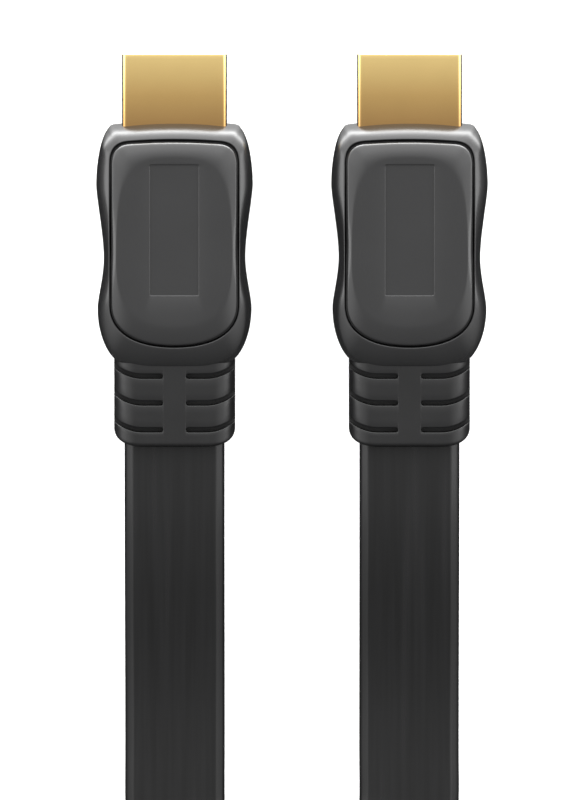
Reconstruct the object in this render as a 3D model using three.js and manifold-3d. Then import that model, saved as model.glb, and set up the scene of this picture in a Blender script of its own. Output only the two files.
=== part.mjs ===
import * as THREE from 'three';
import { mergeVertices } from 'three/addons/utils/BufferGeometryUtils.js';
import Module from 'manifold-3d';

// Flat video cable with a nineteen-contact plug on each end, in millimetres, +Z up.
// Both plugs lie side by side on the floor with their tips towards +Y. The flat cable
// between them is folded in half and the doubled cable is wound into a coil behind them.
// The origin is on the floor, under the middle of the pair of plugs.
// Inside a plug, places are given as a distance behind its tip, from its middle plane.

// Pair of plugs
const plugSpacing = 31.15;
const plugLength = 52.03;
const fitGap = 0.05;

// Metal shell: a thin sleeve with its two lower corners cut off
const shellWidth = 13.9;
const shellHeight = 4.45;
const shellWall = 0.3;
const shellChamfer = 1.75;
const shellCorner = 0.6;
const shellLength = 20;

// Insulator inside the shell, with the slot that the socket's tongue enters
const insulatorRecess = 0.35;
const insulatorStop = 1.5;
const tongueSlotWidth = 11.7;
const tongueSlotHeight = 1.95;
const tongueSlotDepth = 8.3;

// Contacts: an upper row of ten and a lower row of nine, half a pitch apart
const contactCount = 19;
const contactPitch = 1;
const contactWidth = 0.4;
const contactStock = 0.2;
const contactFront = 1.1;
const contactCrest = 2.3;
const contactBend = 4.6;
const contactLift = 0.5;
const contactTipLift = 0.25;
const grooveWidth = 0.52;
const grooveDepth = 0.6;

// Moulded housing, drawn in plan as half widths at distances behind the tip
const housingThickness = 11;
const noseAt = 8.8;
const noseShoulderAt = 9.3;
const noseShoulder = 7.9;
const cornerAt = 9.87;
const cornerHalf = 8.82;
const gripAt = 17.3;
const gripHalf = 10.37;
const waistAt = 27;
const waistHalf = 9.37;
const heelAt = 33.7;
const heelHalf = 10.2;
const rearCornerAt = 40.3;
const rearAt = 41.9;
const rearFlatHalf = 3.03;
const rearBendHalf = 6.13;

// Crown: each face rises from the side walls to a flat egg-shaped plateau
const crownHeight = 3.2;
const crownRings = 4;
const crownDivisions = 36;
const plateauFrontAt = 13.6;
const plateauWidestAt = 27;
const plateauRearAt = 36;
const plateauHalf = 7.7;
const noseLength = 5.4;

// Panels let into the top and the underside of the housing
const pocketHalf = 8.57;
const pocketFrontAt = 11.25;
const pocketFrontHalf = 6.2;
const pocketSideStart = 14.4;
const pocketSideEnd = 33.2;
const pocketRearAt = 38.8;
const pocketDepth = 1.5;
const panelGroove = 0.25;

// Bare recess in the middle of each panel
const recessWidth = 6.6;
const recessFrontAt = 14.54;
const recessRearAt = 31.94;
const recessDepth = 0.2;
const recessCorner = 0.3;

// Strain relief behind the housing, with three pairs of flex slots on each face
const reliefWidth = 16.06;
const reliefThickness = 7;
const reliefEdgeInset = 3;
const reliefEdgeHeight = 2.6;
const reliefSeat = 40;
const reliefCornerLength = 1.85;
const reliefCornerWidth = 3.6;
const anchorWidth = 12;
const anchorThickness = 5;
const anchorFront = 35;
const slotCount = 3;
const firstSlotAt = 42.65;
const slotPitch = 3.56;
const slotWidth = 0.62;
const slotInner = 1.53;
const slotStraightEnd = 4.2;
const slotSweep = 1.35;
const webThickness = 2.4;

// Flat cable
const cableWidth = 13.28;
const cableThickness = 2.5;
const meetGap = 0.3;
const tubeStep = 9;

// Coil of the doubled cable, standing on its edge round an upright axis. Both strands start
// side by side at half a turn and close in as they go round; angles are in degrees.
const coilX = 68.5;
const coilY = -143.5;
const coilRadius = 72.5;
const strandPitch = 4.9;
const coilSlack = 0.25;
const coilStartAngle = 180;
const strandEndB = 762;
const strandEndA = 906.59;
const coilStep = 5.625;
const strapAngle = 270;

// Strap that holds the coil, on the side away from the plugs
const strapWidth = 12;
const strapThickness = 1;
const strapSlack = 0.6;
const strapCorner = 0.8;

const moulding = { color: 0x1b1b1c, roughness: 0.5, metalness: 0 };
const panelPlastic = { color: 0x202021, roughness: 0.42, metalness: 0 };
const reliefRubber = { color: 0x1d1d1e, roughness: 0.6, metalness: 0 };
const cableJacket = { color: 0x161617, roughness: 0.45, metalness: 0 };
const goldPlating = { color: 0xd0ab68, roughness: 0.25, metalness: 1 };
const insulatorPlastic = { color: 0x141415, roughness: 0.6, metalness: 0 };
const strapFabric = { color: 0x121212, roughness: 0.9, metalness: 0 };

const wasm = await Module();
wasm.setup();

const half = housingThickness / 2;

function toSolid(geometry) {
  const bare = geometry.clone();
  bare.deleteAttribute('normal');
  bare.deleteAttribute('uv');
  const merged = mergeVertices(bare, 1e-4);
  return new wasm.Manifold(new wasm.Mesh({
    numProp: 3,
    vertProperties: Float32Array.from(merged.attributes.position.array),
    triVerts: Uint32Array.from(merged.index.array),
  }));
}

function toGeometry(solid) {
  const cut = solid.getMesh();
  const geometry = new THREE.BufferGeometry();
  geometry.setAttribute('position', new THREE.BufferAttribute(cut.vertProperties, 3));
  geometry.setIndex(new THREE.BufferAttribute(cut.triVerts, 1));
  geometry.computeVertexNormals();
  return geometry;
}

function piece(name, geometry, finish) {
  const mesh = new THREE.Mesh(geometry, new THREE.MeshStandardMaterial(finish));
  mesh.name = name;
  return mesh;
}

// A cross-section (across, up) run backwards from a distance behind the tip
function runBack(section, from, to, curveSegments = 4) {
  const geometry = new THREE.ExtrudeGeometry(section, {
    depth: to - from, bevelEnabled: false, curveSegments,
  });
  const axes = new THREE.Matrix4().makeBasis(
    new THREE.Vector3(1, 0, 0), new THREE.Vector3(0, 0, 1), new THREE.Vector3(0, -1, 0),
  );
  return geometry.applyMatrix4(axes).translate(0, -from, 0);
}

// A side view (along, up) run across the plug, centred
function runAcross(profile, width, curveSegments = 6) {
  const geometry = new THREE.ExtrudeGeometry(profile, {
    depth: width, bevelEnabled: false, curveSegments,
  });
  const axes = new THREE.Matrix4().makeBasis(
    new THREE.Vector3(0, 1, 0), new THREE.Vector3(0, 0, 1), new THREE.Vector3(1, 0, 0),
  );
  return geometry.applyMatrix4(axes).translate(-width / 2, 0, 0);
}

// A plan outline raised between two heights
function runUp(outline, bottom, top, curveSegments = 4) {
  return new THREE.ExtrudeGeometry(outline, {
    depth: top - bottom, bevelEnabled: false, curveSegments,
  }).translate(0, 0, bottom);
}

function block(width, from, to, bottom, top) {
  return new THREE.BoxGeometry(width, to - from, top - bottom)
    .translate(0, -(from + to) / 2, (bottom + top) / 2);
}

// Closes an outline whose right half runs from the front to the back of the middle line
function mirrored(right) {
  const left = right.slice(1, -1).reverse().map((p) => new THREE.Vector2(-p.x, p.y));
  return new THREE.Shape([...right, ...left]);
}

function shellSection(inset) {
  const side = shellWidth / 2 - inset;
  const top = shellHeight / 2 - inset;
  const chamfer = shellChamfer - inset * (2 - Math.SQRT2);
  const corner = Math.max(shellCorner - inset, shellCorner / 4);
  const section = new THREE.Shape();
  section.moveTo(chamfer - side, -top);
  section.lineTo(side - chamfer, -top);
  section.lineTo(side, chamfer - top);
  section.lineTo(side, top - corner);
  section.absarc(side - corner, top - corner, corner, 0, Math.PI / 2);
  section.lineTo(corner - side, top);
  section.absarc(corner - side, top - corner, corner, Math.PI / 2, Math.PI);
  section.lineTo(-side, chamfer - top);
  section.closePath();
  return section;
}

function shellGeometry() {
  const section = shellSection(0);
  section.holes.push(shellSection(shellWall));
  return runBack(section, 0, shellLength, 2);
}

function insulatorGeometry() {
  const body = toSolid(runBack(shellSection(shellWall + fitGap), insulatorRecess, shellLength - insulatorStop, 2));
  const mouth = -shellHeight;
  let slot = toSolid(block(tongueSlotWidth, mouth, tongueSlotDepth, -tongueSlotHeight / 2, tongueSlotHeight / 2));
  for (let pin = 1; pin <= contactCount; pin++) {
    const reach = tongueSlotHeight / 2 + grooveDepth;
    const groove = pin % 2
      ? block(grooveWidth, mouth, tongueSlotDepth, 0, reach)
      : block(grooveWidth, mouth, tongueSlotDepth, -reach, 0);
    slot = slot.add(toSolid(groove.translate(contactX(pin), 0, 0)));
  }
  return toGeometry(body.subtract(slot));
}

function contactX(pin) {
  return (pin - (contactCount + 1) / 2) * contactPitch / 2;
}

// Side view of an upper contact: flat at the back, bowed down into the slot near its front
function contactGeometry() {
  const seat = tongueSlotHeight / 2 + grooveDepth - fitGap;
  const centreline = [
    [tongueSlotDepth - fitGap, 0],
    [contactBend, 0],
    [contactCrest, contactLift],
    [contactFront, contactTipLift],
  ];
  const upper = centreline.map(([behind, drop]) => new THREE.Vector2(-behind, seat - drop));
  const lower = upper.map((p) => new THREE.Vector2(p.x, p.y - contactStock)).reverse();
  return runAcross(new THREE.Shape([...upper, ...lower]), contactWidth);
}

function housingPlan() {
  const side = new THREE.Path();
  const toWaist = waistAt - gripAt;
  const toHeel = heelAt - waistAt;
  const rearHalf = reliefWidth / 2;
  side.moveTo(0, -noseAt);
  side.quadraticCurveTo(noseShoulder / 2, -noseAt, noseShoulder, -noseShoulderAt);
  side.quadraticCurveTo(noseShoulder + 0.75, -noseShoulderAt, cornerHalf, -cornerAt);
  side.bezierCurveTo(cornerHalf + 0.95, -cornerAt - 1.06, gripHalf, -gripAt + 2.98, gripHalf, -gripAt);
  side.bezierCurveTo(
    gripHalf, -gripAt - 0.17 * toWaist, waistHalf, -waistAt + 0.32 * toWaist, waistHalf, -waistAt,
  );
  side.bezierCurveTo(
    waistHalf, -waistAt - 0.36 * toHeel, heelHalf, -heelAt + 0.2 * toHeel, heelHalf, -heelAt,
  );
  side.bezierCurveTo(heelHalf, -heelAt - 3.15, rearHalf + 1.07, -rearCornerAt + 1, rearHalf, -rearCornerAt);
  side.quadraticCurveTo(rearBendHalf, -rearAt, rearFlatHalf, -rearAt);
  side.lineTo(0, -rearAt);
  return side;
}

function plateauPlan() {
  const side = new THREE.Path();
  const toWidest = plateauWidestAt - plateauFrontAt;
  const toRear = plateauRearAt - plateauWidestAt;
  side.moveTo(0, -plateauFrontAt);
  side.bezierCurveTo(
    0.78 * plateauHalf, -plateauFrontAt, plateauHalf, -plateauFrontAt - 0.1 * toWidest,
    plateauHalf, -plateauWidestAt,
  );
  side.bezierCurveTo(
    plateauHalf, -plateauRearAt + 0.27 * toRear, 0.68 * plateauHalf, -plateauRearAt, 0, -plateauRearAt,
  );
  return side;
}

// The housing's outer form: vertical side walls, then rings that close in on the plateau
function crownedForm() {
  const wall = housingPlan().getSpacedPoints(crownDivisions);
  const plateau = plateauPlan().getSpacedPoints(crownDivisions);
  const steps = 2 * crownRings + 1;
  const geometry = new THREE.ExtrudeGeometry(mirrored(wall), { depth: steps, steps, bevelEnabled: false });
  const position = geometry.attributes.position;
  const nearest = (x, y) => wall.findIndex((p) => Math.hypot(p.x - x, p.y - y) < 1e-4);
  for (let i = 0; i < position.count; i++) {
    const step = Math.round(position.getZ(i));
    const upper = step > crownRings;
    const ring = upper ? step - crownRings - 1 : crownRings - step;
    const turn = ring / crownRings * Math.PI / 2;
    const x = position.getX(i);
    const y = position.getY(i);
    const target = plateau[nearest(Math.abs(x), y)];
    const drawnIn = 1 - Math.cos(turn);
    const height = half - crownHeight + crownHeight * Math.sin(turn);
    position.setXYZ(
      i,
      THREE.MathUtils.lerp(x, Math.sign(x) * target.x, drawnIn),
      THREE.MathUtils.lerp(y, target.y, drawnIn),
      upper ? height : -height,
    );
  }
  return toSolid(geometry).intersect(toSolid(runAcross(noseSideView(), 3 * gripHalf)));
}

// Side view of the nose: rounded from the middle plane up to the start of the plateau
function noseSideView() {
  const profile = new THREE.Shape();
  const noseCentre = -(noseAt + noseLength);
  profile.moveTo(-plugLength, -half);
  profile.lineTo(noseCentre, -half);
  profile.absellipse(noseCentre, 0, noseLength, half, -Math.PI / 2, Math.PI / 2);
  profile.lineTo(-plugLength, half);
  return profile;
}

// Outline of the pocket that a panel sits in, drawn in all round by an inset
function pocketPlan(inset) {
  const side = new THREE.Path();
  const width = pocketHalf - inset;
  const front = -(pocketFrontAt + inset);
  const rear = -(pocketRearAt - inset);
  side.moveTo(0, front);
  side.quadraticCurveTo(pocketFrontHalf / 2, front, pocketFrontHalf, front - 0.25);
  side.quadraticCurveTo(width, front - 0.5, width, -pocketSideStart);
  side.lineTo(width, -pocketSideEnd);
  side.bezierCurveTo(width, rear + 1.9, width - 3.4, rear, 0, rear);
  return mirrored(side.getPoints(6));
}

function housingGeometry() {
  const shellPocket = toSolid(runBack(shellSection(-fitGap), 0, shellLength + fitGap, 2));
  const panelPocket = runUp(pocketPlan(0), half - pocketDepth, housingThickness);
  const underPocket = panelPocket.clone().rotateY(Math.PI);
  const seat = toSolid(runBack(reliefSection(fitGap), reliefSeat - fitGap, plugLength));
  const anchor = toSolid(block(
    anchorWidth + 2 * fitGap, anchorFront - fitGap, reliefSeat + 1,
    -anchorThickness / 2 - fitGap, anchorThickness / 2 + fitGap,
  ));
  return toGeometry(crownedForm().subtract(shellPocket).subtract(toSolid(panelPocket))
    .subtract(toSolid(underPocket)).subtract(seat.add(anchor)));
}

function recessPlan() {
  const width = recessWidth / 2;
  const plan = new THREE.Shape();
  plan.moveTo(width - recessCorner, -recessFrontAt);
  plan.absarc(recessCorner - width, -recessFrontAt - recessCorner, recessCorner, Math.PI / 2, Math.PI);
  plan.absarc(recessCorner - width, -recessRearAt + recessCorner, recessCorner, Math.PI, Math.PI * 1.5);
  plan.absarc(width - recessCorner, -recessRearAt + recessCorner, recessCorner, -Math.PI / 2, 0);
  plan.absarc(width - recessCorner, -recessFrontAt - recessCorner, recessCorner, 0, Math.PI / 2);
  return plan;
}

function panelGeometry() {
  const form = toSolid(runUp(pocketPlan(panelGroove), half - pocketDepth + fitGap, housingThickness));
  const recess = toSolid(runUp(recessPlan(), half - recessDepth, housingThickness, 1));
  return toGeometry(crownedForm().intersect(form).subtract(recess));
}

// Cross-section of the strain relief: flat in the middle with strongly rounded sides
function reliefSection(grow) {
  const across = reliefWidth / 2 + grow;
  const up = reliefThickness / 2 + grow;
  const section = new THREE.Shape();
  const x = across - reliefEdgeInset;
  const z = up - reliefEdgeHeight;
  section.absellipse(x, z, reliefEdgeInset, reliefEdgeHeight, 0, Math.PI / 2);
  section.absellipse(-x, z, reliefEdgeInset, reliefEdgeHeight, Math.PI / 2, Math.PI);
  section.absellipse(-x, -z, reliefEdgeInset, reliefEdgeHeight, Math.PI, Math.PI * 1.5);
  section.absellipse(x, -z, reliefEdgeInset, reliefEdgeHeight, Math.PI * 1.5, Math.PI * 2);
  return section;
}

function reliefPlan() {
  const side = new THREE.Path();
  const width = reliefWidth / 2;
  side.moveTo(0, -reliefSeat);
  side.lineTo(width, -reliefSeat);
  side.lineTo(width, reliefCornerLength - plugLength);
  side.quadraticCurveTo(width - 0.1, -plugLength + 0.1, width - reliefCornerWidth, -plugLength);
  side.lineTo(0, -plugLength);
  return mirrored(side.getPoints(5));
}

// One flex slot from above: straight beside the spine, then swept forwards to the side
function slotPlan(at, side) {
  const width = reliefWidth / 2;
  const end = width + slotWidth;
  const sweep = slotSweep * ((end - slotStraightEnd) / (width - slotStraightEnd)) ** 2;
  const bend = (slotStraightEnd + end) / 2;
  const radius = slotWidth / 2;
  const plan = new THREE.Shape();
  plan.absarc(slotInner + radius, -at, radius, Math.PI / 2, Math.PI * 1.5);
  plan.lineTo(slotStraightEnd, -at - radius);
  plan.quadraticCurveTo(bend, -at - radius, end, -at - radius + sweep);
  plan.lineTo(end, -at + radius + sweep);
  plan.quadraticCurveTo(bend, -at + radius, slotStraightEnd, -at + radius);
  return new THREE.Shape(plan.getPoints(3).map((p) => new THREE.Vector2(side * p.x, p.y)));
}

function reliefGeometry() {
  const body = toSolid(runBack(reliefSection(0), reliefSeat, plugLength));
  const plan = toSolid(runUp(reliefPlan(), -reliefThickness, reliefThickness));
  const anchor = toSolid(block(
    anchorWidth, anchorFront, reliefSeat + 1, -anchorThickness / 2, anchorThickness / 2,
  ));
  let relief = body.intersect(plan).add(anchor);
  for (let i = 0; i < slotCount; i++) {
    for (const side of [1, -1]) {
      const slot = runUp(slotPlan(firstSlotAt + i * slotPitch, side), webThickness / 2, reliefThickness);
      const slotBelow = slot.clone().rotateY(Math.PI);
      relief = relief.subtract(toSolid(slot)).subtract(toSolid(slotBelow));
    }
  }
  return toGeometry(relief);
}

const shared = {
  shell: shellGeometry(),
  insulator: insulatorGeometry(),
  contact: contactGeometry(),
  housing: housingGeometry(),
  panel: panelGeometry(),
  relief: reliefGeometry(),
};

function buildPlug(name, x) {
  const plug = new THREE.Group();
  const underPanel = piece(`${name}_under_panel`, shared.panel, panelPlastic);
  underPanel.rotation.y = Math.PI;
  plug.add(
    piece(`${name}_shell`, shared.shell, goldPlating),
    piece(`${name}_insulator`, shared.insulator, insulatorPlastic),
    piece(`${name}_housing`, shared.housing, moulding),
    piece(`${name}_top_panel`, shared.panel, panelPlastic),
    underPanel,
    piece(`${name}_strain_relief`, shared.relief, reliefRubber),
  );
  for (let pin = 1; pin <= contactCount; pin++) {
    const contact = piece(`${name}_contact_${String(pin).padStart(2, '0')}`, shared.contact, goldPlating);
    contact.position.x = contactX(pin);
    if (pin % 2 === 0) contact.rotation.y = Math.PI;
    plug.add(contact);
  }
  plug.position.set(x, plugLength / 2, half);
  return plug;
}

// Route points of the cable: x, y, height of its middle, and how far it is turned on edge.
// It droops from each strain relief to the floor, lies flat, then turns up on its edge.
const leadA = [
  [-15.6, -26.3, 5.5, 0], [-15.6, -31, 5.48, 0], [-15.6, -36, 5.3, 0], [-15.6, -42, 4.6, 0],
  [-15.6, -48, 3.5, 0], [-15.6, -54, 2.4, 0], [-15.6, -60, 1.6, 0], [-15.6, -67, 1.27, 0],
  [-15.6, -74, 1.27, 0], [-15.3, -81, 1.6, 3], [-14.4, -88, 2.35, 9], [-13.2, -95, 3.5, 20],
  [-11.7, -102, 4.7, 33], [-10, -109, 5.75, 48], [-8.2, -116, 6.46, 63], [-6.5, -123, 6.74, 76],
  [-5.1, -130, 6.74, 86], [-4, -138.4, 6.66, 90], [-4, -143.2, 6.66, 90],
];
const leadB = [
  [15.6, -26.3, 5.5, 0], [15.6, -31, 5.48, 0], [15.6, -36, 5.3, 0], [15.6, -42, 4.6, 0],
  [15.6, -48, 3.5, 0], [15.6, -54, 2.4, 0], [15.6, -60, 1.6, 0], [15.6, -67, 1.27, 0],
  [15.6, -74, 1.27, 0], [15.1, -81, 1.72, -4], [13.5, -88, 2.8, -14], [11.4, -95, 4.25, -28],
  [8.8, -102, 5.6, -45], [6, -109, 6.46, -63], [3.5, -116, 6.76, -78], [1.7, -121, 6.72, -87],
  [0.9, -125.6, 6.66, -90], [0.9, -135, 6.66, -90], [0.9, -143.2, 6.66, -90],
];

// The folded middle of the cable crosses the bore of the coil, places from the coil's centre
const foldPoints = [
  [-52.3, -6.4], [-48.6, -16.1], [-41.1, -23.7], [-31.1, -27.6], [-20.4, -27], [-10.9, -22],
  [-4.3, -13.6], [-1.7, -3.2], [-3.6, 7.3], [-5.4, 18.8], [-1.9, 30], [6.1, 38.4], [17.1, 42.3],
  [28.7, 41], [38.2, 34.9],
];

// A smooth route that keeps the flat side of the cable at the stated turn
class FlatCableRoute extends THREE.CatmullRomCurve3 {
  constructor(stations) {
    super(stations.map(([x, y, z]) => new THREE.Vector3(x, y, z)), false, 'centripetal');
    this.turns = stations.map((station) => THREE.MathUtils.degToRad(station[3]));
  }

  turnAt(along) {
    const place = this.getUtoTmapping(along) * (this.turns.length - 1);
    const before = Math.min(Math.floor(place), this.turns.length - 2);
    return THREE.MathUtils.lerp(this.turns[before], this.turns[before + 1], place - before);
  }

  computeFrenetFrames(segments) {
    const frames = { tangents: [], normals: [], binormals: [] };
    for (let i = 0; i <= segments; i++) {
      const tangent = this.getTangentAt(i / segments);
      const across = new THREE.Vector3(0, 0, 1).cross(tangent).normalize();
      across.applyAxisAngle(tangent, this.turnAt(i / segments));
      frames.tangents.push(tangent);
      frames.normals.push(across);
      frames.binormals.push(tangent.clone().cross(across));
    }
    return frames;
  }
}

function cableSection() {
  const radius = cableThickness / 2;
  const straight = cableWidth / 2 - radius;
  const section = new THREE.Shape();
  section.absarc(straight, 0, radius, -Math.PI / 2, Math.PI / 2);
  section.absarc(-straight, 0, radius, Math.PI / 2, Math.PI * 1.5);
  return section;
}

function cableTube(stations) {
  const route = new FlatCableRoute(stations);
  return new THREE.ExtrudeGeometry(cableSection(), {
    steps: Math.round(route.getLength() / tubeStep), extrudePath: route, curveSegments: 2,
  });
}

// Distance of strand A from the coil's axis at an angle counted from the start of the coil
function strandRadius(angle) {
  return coilRadius - 2 * strandPitch * (angle - coilStartAngle) / 360;
}

// Points on one face of a strand between two angles, that far from strand A's middle
function spiral(from, to, offset) {
  const count = Math.ceil((to - from) / coilStep);
  return Array.from({ length: count + 1 }, (_, i) => {
    const angle = from + (to - from) * i / count;
    const turn = THREE.MathUtils.degToRad(angle);
    const radius = strandRadius(angle) + offset;
    return new THREE.Vector2(radius * Math.cos(turn), radius * Math.sin(turn));
  });
}

// Outer shape of all the turns, with room below for the strap where it passes under them
function coilGeometry() {
  const face = cableThickness / 2 + coilSlack;
  const bevel = cableThickness / 2;
  const outline = new THREE.Shape(spiral(coilStartAngle, coilStartAngle + 360, face));
  outline.holes.push(new THREE.Path([
    ...spiral(strandEndB, strandEndA, -face),
    ...spiral(strandEndA - 360, strandEndB, -strandPitch - face),
  ]));
  const ring = new THREE.ExtrudeGeometry(outline, {
    depth: cableWidth - 2 * bevel, bevelThickness: bevel, bevelSize: bevel, bevelOffset: -bevel,
    bevelSegments: 1,
  }).translate(0, 0, bevel);
  const passage = new THREE.BoxGeometry(
    strapWidth + 2 * meetGap, coilRadius, 2 * (strapThickness + meetGap),
  ).translate(0, -coilRadius, 0);
  return toGeometry(toSolid(ring).subtract(toSolid(passage)));
}

// Closed loop of strap round all the turns, seen along the cable
function strapGeometry() {
  const face = cableThickness / 2 + coilSlack + strapSlack;
  const inner = strandRadius(strapAngle + 360) - strandPitch - face;
  const outer = strandRadius(strapAngle) + face;
  const top = strapThickness + cableWidth + strapThickness + meetGap;
  const outline = (grow) => {
    const corner = strapCorner + grow;
    const near = -inner + grow - corner;
    const far = -outer - grow + corner;
    const low = strapThickness - grow + corner;
    const high = top + grow - corner;
    const loop = new THREE.Path();
    loop.absarc(near, low, corner, -Math.PI / 2, 0);
    loop.absarc(near, high, corner, 0, Math.PI / 2);
    loop.absarc(far, high, corner, Math.PI / 2, Math.PI);
    loop.absarc(far, low, corner, Math.PI, Math.PI * 1.5);
    return loop.getPoints(3);
  };
  const section = new THREE.Shape(outline(strapThickness));
  section.holes.push(new THREE.Path(outline(0)));
  return runAcross(section, strapWidth);
}

const onEdge = cableWidth / 2 + 0.02;
const foldStations = foldPoints.map(([x, y]) => [coilX + x, coilY + y, onEdge, 90]);
const coil = piece('cable_coil', coilGeometry(), cableJacket);
const strap = piece('coil_strap', strapGeometry(), strapFabric);
coil.position.set(coilX, coilY, 0);
strap.position.set(coilX, coilY, 0);

const cable = new THREE.Group();
cable.add(
  buildPlug('plug_a', -plugSpacing / 2),
  buildPlug('plug_b', plugSpacing / 2),
  piece('cable_lead_a', cableTube(leadA), cableJacket),
  piece('cable_lead_b', cableTube(leadB), cableJacket),
  piece('cable_fold', cableTube(foldStations), cableJacket),
  coil,
  strap,
);

export default cable;
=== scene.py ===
"""Looks for the flat video cable: two gold plugs in black mouldings on a coiled flat cable."""
import math

import bmesh
import bpy
import numpy as np
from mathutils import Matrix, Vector


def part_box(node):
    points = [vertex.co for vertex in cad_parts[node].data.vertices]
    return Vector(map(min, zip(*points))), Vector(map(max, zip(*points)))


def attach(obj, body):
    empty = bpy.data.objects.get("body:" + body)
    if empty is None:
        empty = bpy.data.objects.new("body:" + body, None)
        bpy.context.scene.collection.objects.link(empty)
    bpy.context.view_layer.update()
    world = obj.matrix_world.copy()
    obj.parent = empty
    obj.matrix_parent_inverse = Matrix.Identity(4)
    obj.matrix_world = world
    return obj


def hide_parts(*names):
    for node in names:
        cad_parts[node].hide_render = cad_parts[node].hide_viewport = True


bl_info = {
    "name": "Flat Video Cable",
    "version": (1, 0, 0),
    "blender": (4, 5, 0),
    "location": "View3D > Sidebar > Cable",
    "description": "Builds a flat cable with a nineteen-contact plug on each end",
    "category": "Object",
}

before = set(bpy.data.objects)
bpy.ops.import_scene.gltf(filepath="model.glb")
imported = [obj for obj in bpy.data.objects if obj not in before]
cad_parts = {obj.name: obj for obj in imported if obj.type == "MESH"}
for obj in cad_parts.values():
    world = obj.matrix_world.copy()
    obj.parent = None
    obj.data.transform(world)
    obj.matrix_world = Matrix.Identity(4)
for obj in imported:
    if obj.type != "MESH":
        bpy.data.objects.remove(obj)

MM = 0.001
PLUGS = ("plug_a", "plug_b")

# Sizes of a plug as the source of the solids has them, in millimetres: half widths, heights and
# distances behind the tip. A corner is its half width and its distance.
TIP_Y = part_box("plug_a_shell")[1][1] / MM
HALF = (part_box("plug_a_top_panel")[1][2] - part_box("plug_a_under_panel")[0][2]) / 2 / MM
NOSE_AT = 8.8
SHOULDER = (7.9, 9.3)
CORNER = (8.82, 9.87)
GRIP = (10.37, 17.3)
WAIST = (9.37, 27.0)
HEEL = (10.2, 33.7)
REAR_CORNER = (8.03, 40.3)
REAR_AT = 41.9
PLATEAU_FRONT, PLATEAU_WIDEST, PLATEAU_REAR, PLATEAU_HALF = 13.6, 27.0, 36.0, 7.7
POCKET_FRONT, POCKET_REAR, POCKET_HALF, POCKET_DEPTH = 11.25, 38.8, 8.57, 1.5
RECESS_FRONT, RECESS_REAR, RECESS_HALF, RECESS_DEPTH = 14.54, 31.94, 3.3, 0.2
RECESS_CORNER = 0.3
SHELL_HALF, SHELL_UP, SHELL_WALL = 6.95, 2.225, 0.3
SHELL_CHAMFER, SHELL_CORNER, SHELL_REAR = 1.75, 0.6, 20.0
RELIEF_HALF, RELIEF_UP, RELIEF_INSET, RELIEF_EDGE = 8.03, 3.5, 3.0, 2.6
RELIEF_FRONT, RELIEF_REAR = 40.0, 52.03
SLOTS_AT = (42.65, 46.21, 49.77)
SLOT_STRAIGHT, SLOT_SWEEP, SLOT_INNER, SLOT_FLOOR = 4.2, 1.35, 1.53, 1.2
UPPER_CONTACTS, CONTACT_PITCH = 10, 1.0

# Sizes of a plug that only the looks have: the crown at the nose and at the sides, the foot of the
# groove, the seat and the edge of a panel, the edge of its recess
NOSE_FADE, NOSE_FOOT = (8.95, 12.5), 0.2
SIDE_TURN, NOSE_TURN_MORE = 68, 17
SIDE_SOFTNESS, NOSE_SOFTNESS_LESS = 0.02, 0.014
GROOVE_FOOT_IN, GROOVE_FOOT_UP = 0.22, 0.4
PANEL_EDGE, PANEL_LIFT, PANEL_MIDDLE = 0.26, 0.05, 25
RECESS_EDGE = 0.012

# The coil's axis, its radius, how far each strand goes round it in degrees, the height of the
# cable's middle on its edge, its reach into a strain relief, and its half width and thickness
COIL = (68.5, -143.5)
COIL_RADIUS, STRAND_PITCH = 72.5, 4.9
STRAND_START, STRAND_END_A, STRAND_END_B = 180, 906.59, 762.0
STRAND_STEP = 10
ON_EDGE = 6.66
INSIDE = 1.8
CABLE_HALF = (6.64, 1.25)

# The strap's thickness, the lift that it gives the turns, its two sides as distances from the
# outermost turn, the rounding of its loop, and the layers of its lapped end
STRAP_STOCK = 0.55
STRAP_LIFT = STRAP_STOCK * 1.1
STRAP_SIDES = (1.1, 18.85)
STRAP_CORNER = 1.1
STRAP_GAP = 0.12
STRAP_LAP = (0.57, 0.97)

# Middle of the view along the floor, and the brightest value that the world's ramps can hold
VIEW_Y = -19.93
BRIGHTEST = 32

# Route points of the cable, as in the source: x, y, height of its middle, turn on edge
LEAD_A = (
    (-15.6, -26.3, 5.5, 0), (-15.6, -31, 5.48, 0), (-15.6, -36, 5.3, 0), (-15.6, -42, 4.6, 0),
    (-15.6, -48, 3.5, 0), (-15.6, -54, 2.4, 0), (-15.6, -60, 1.6, 0), (-15.6, -67, 1.27, 0),
    (-15.6, -74, 1.27, 0), (-15.3, -81, 1.6, 3), (-14.4, -88, 2.35, 9), (-13.2, -95, 3.5, 20),
    (-11.7, -102, 4.7, 33), (-10, -109, 5.75, 48), (-8.2, -116, 6.46, 63), (-6.5, -123, 6.74, 76),
    (-5.1, -130, 6.74, 86), (-4, -138.4, 6.66, 90),
)
LEAD_B = (
    (15.6, -26.3, 5.5, 0), (15.6, -31, 5.48, 0), (15.6, -36, 5.3, 0), (15.6, -42, 4.6, 0),
    (15.6, -48, 3.5, 0), (15.6, -54, 2.4, 0), (15.6, -60, 1.6, 0), (15.6, -67, 1.27, 0),
    (15.6, -74, 1.27, 0), (15.1, -81, 1.72, -4), (13.5, -88, 2.8, -14), (11.4, -95, 4.25, -28),
    (8.8, -102, 5.6, -45), (6, -109, 6.46, -63), (3.5, -116, 6.76, -78), (1.7, -121, 6.72, -87),
    (0.9, -125.6, 6.66, -90),
)
FOLD = (
    (-48.6, -16.1), (-41.1, -23.7), (-31.1, -27.6), (-20.4, -27), (-10.9, -22), (-4.3, -13.6),
    (-1.7, -3.2), (-3.6, 7.3), (-5.4, 18.8), (-1.9, 30), (6.1, 38.4), (17.1, 42.3), (28.7, 41),
)


# ---------------------------------------------------------------- settings

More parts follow.
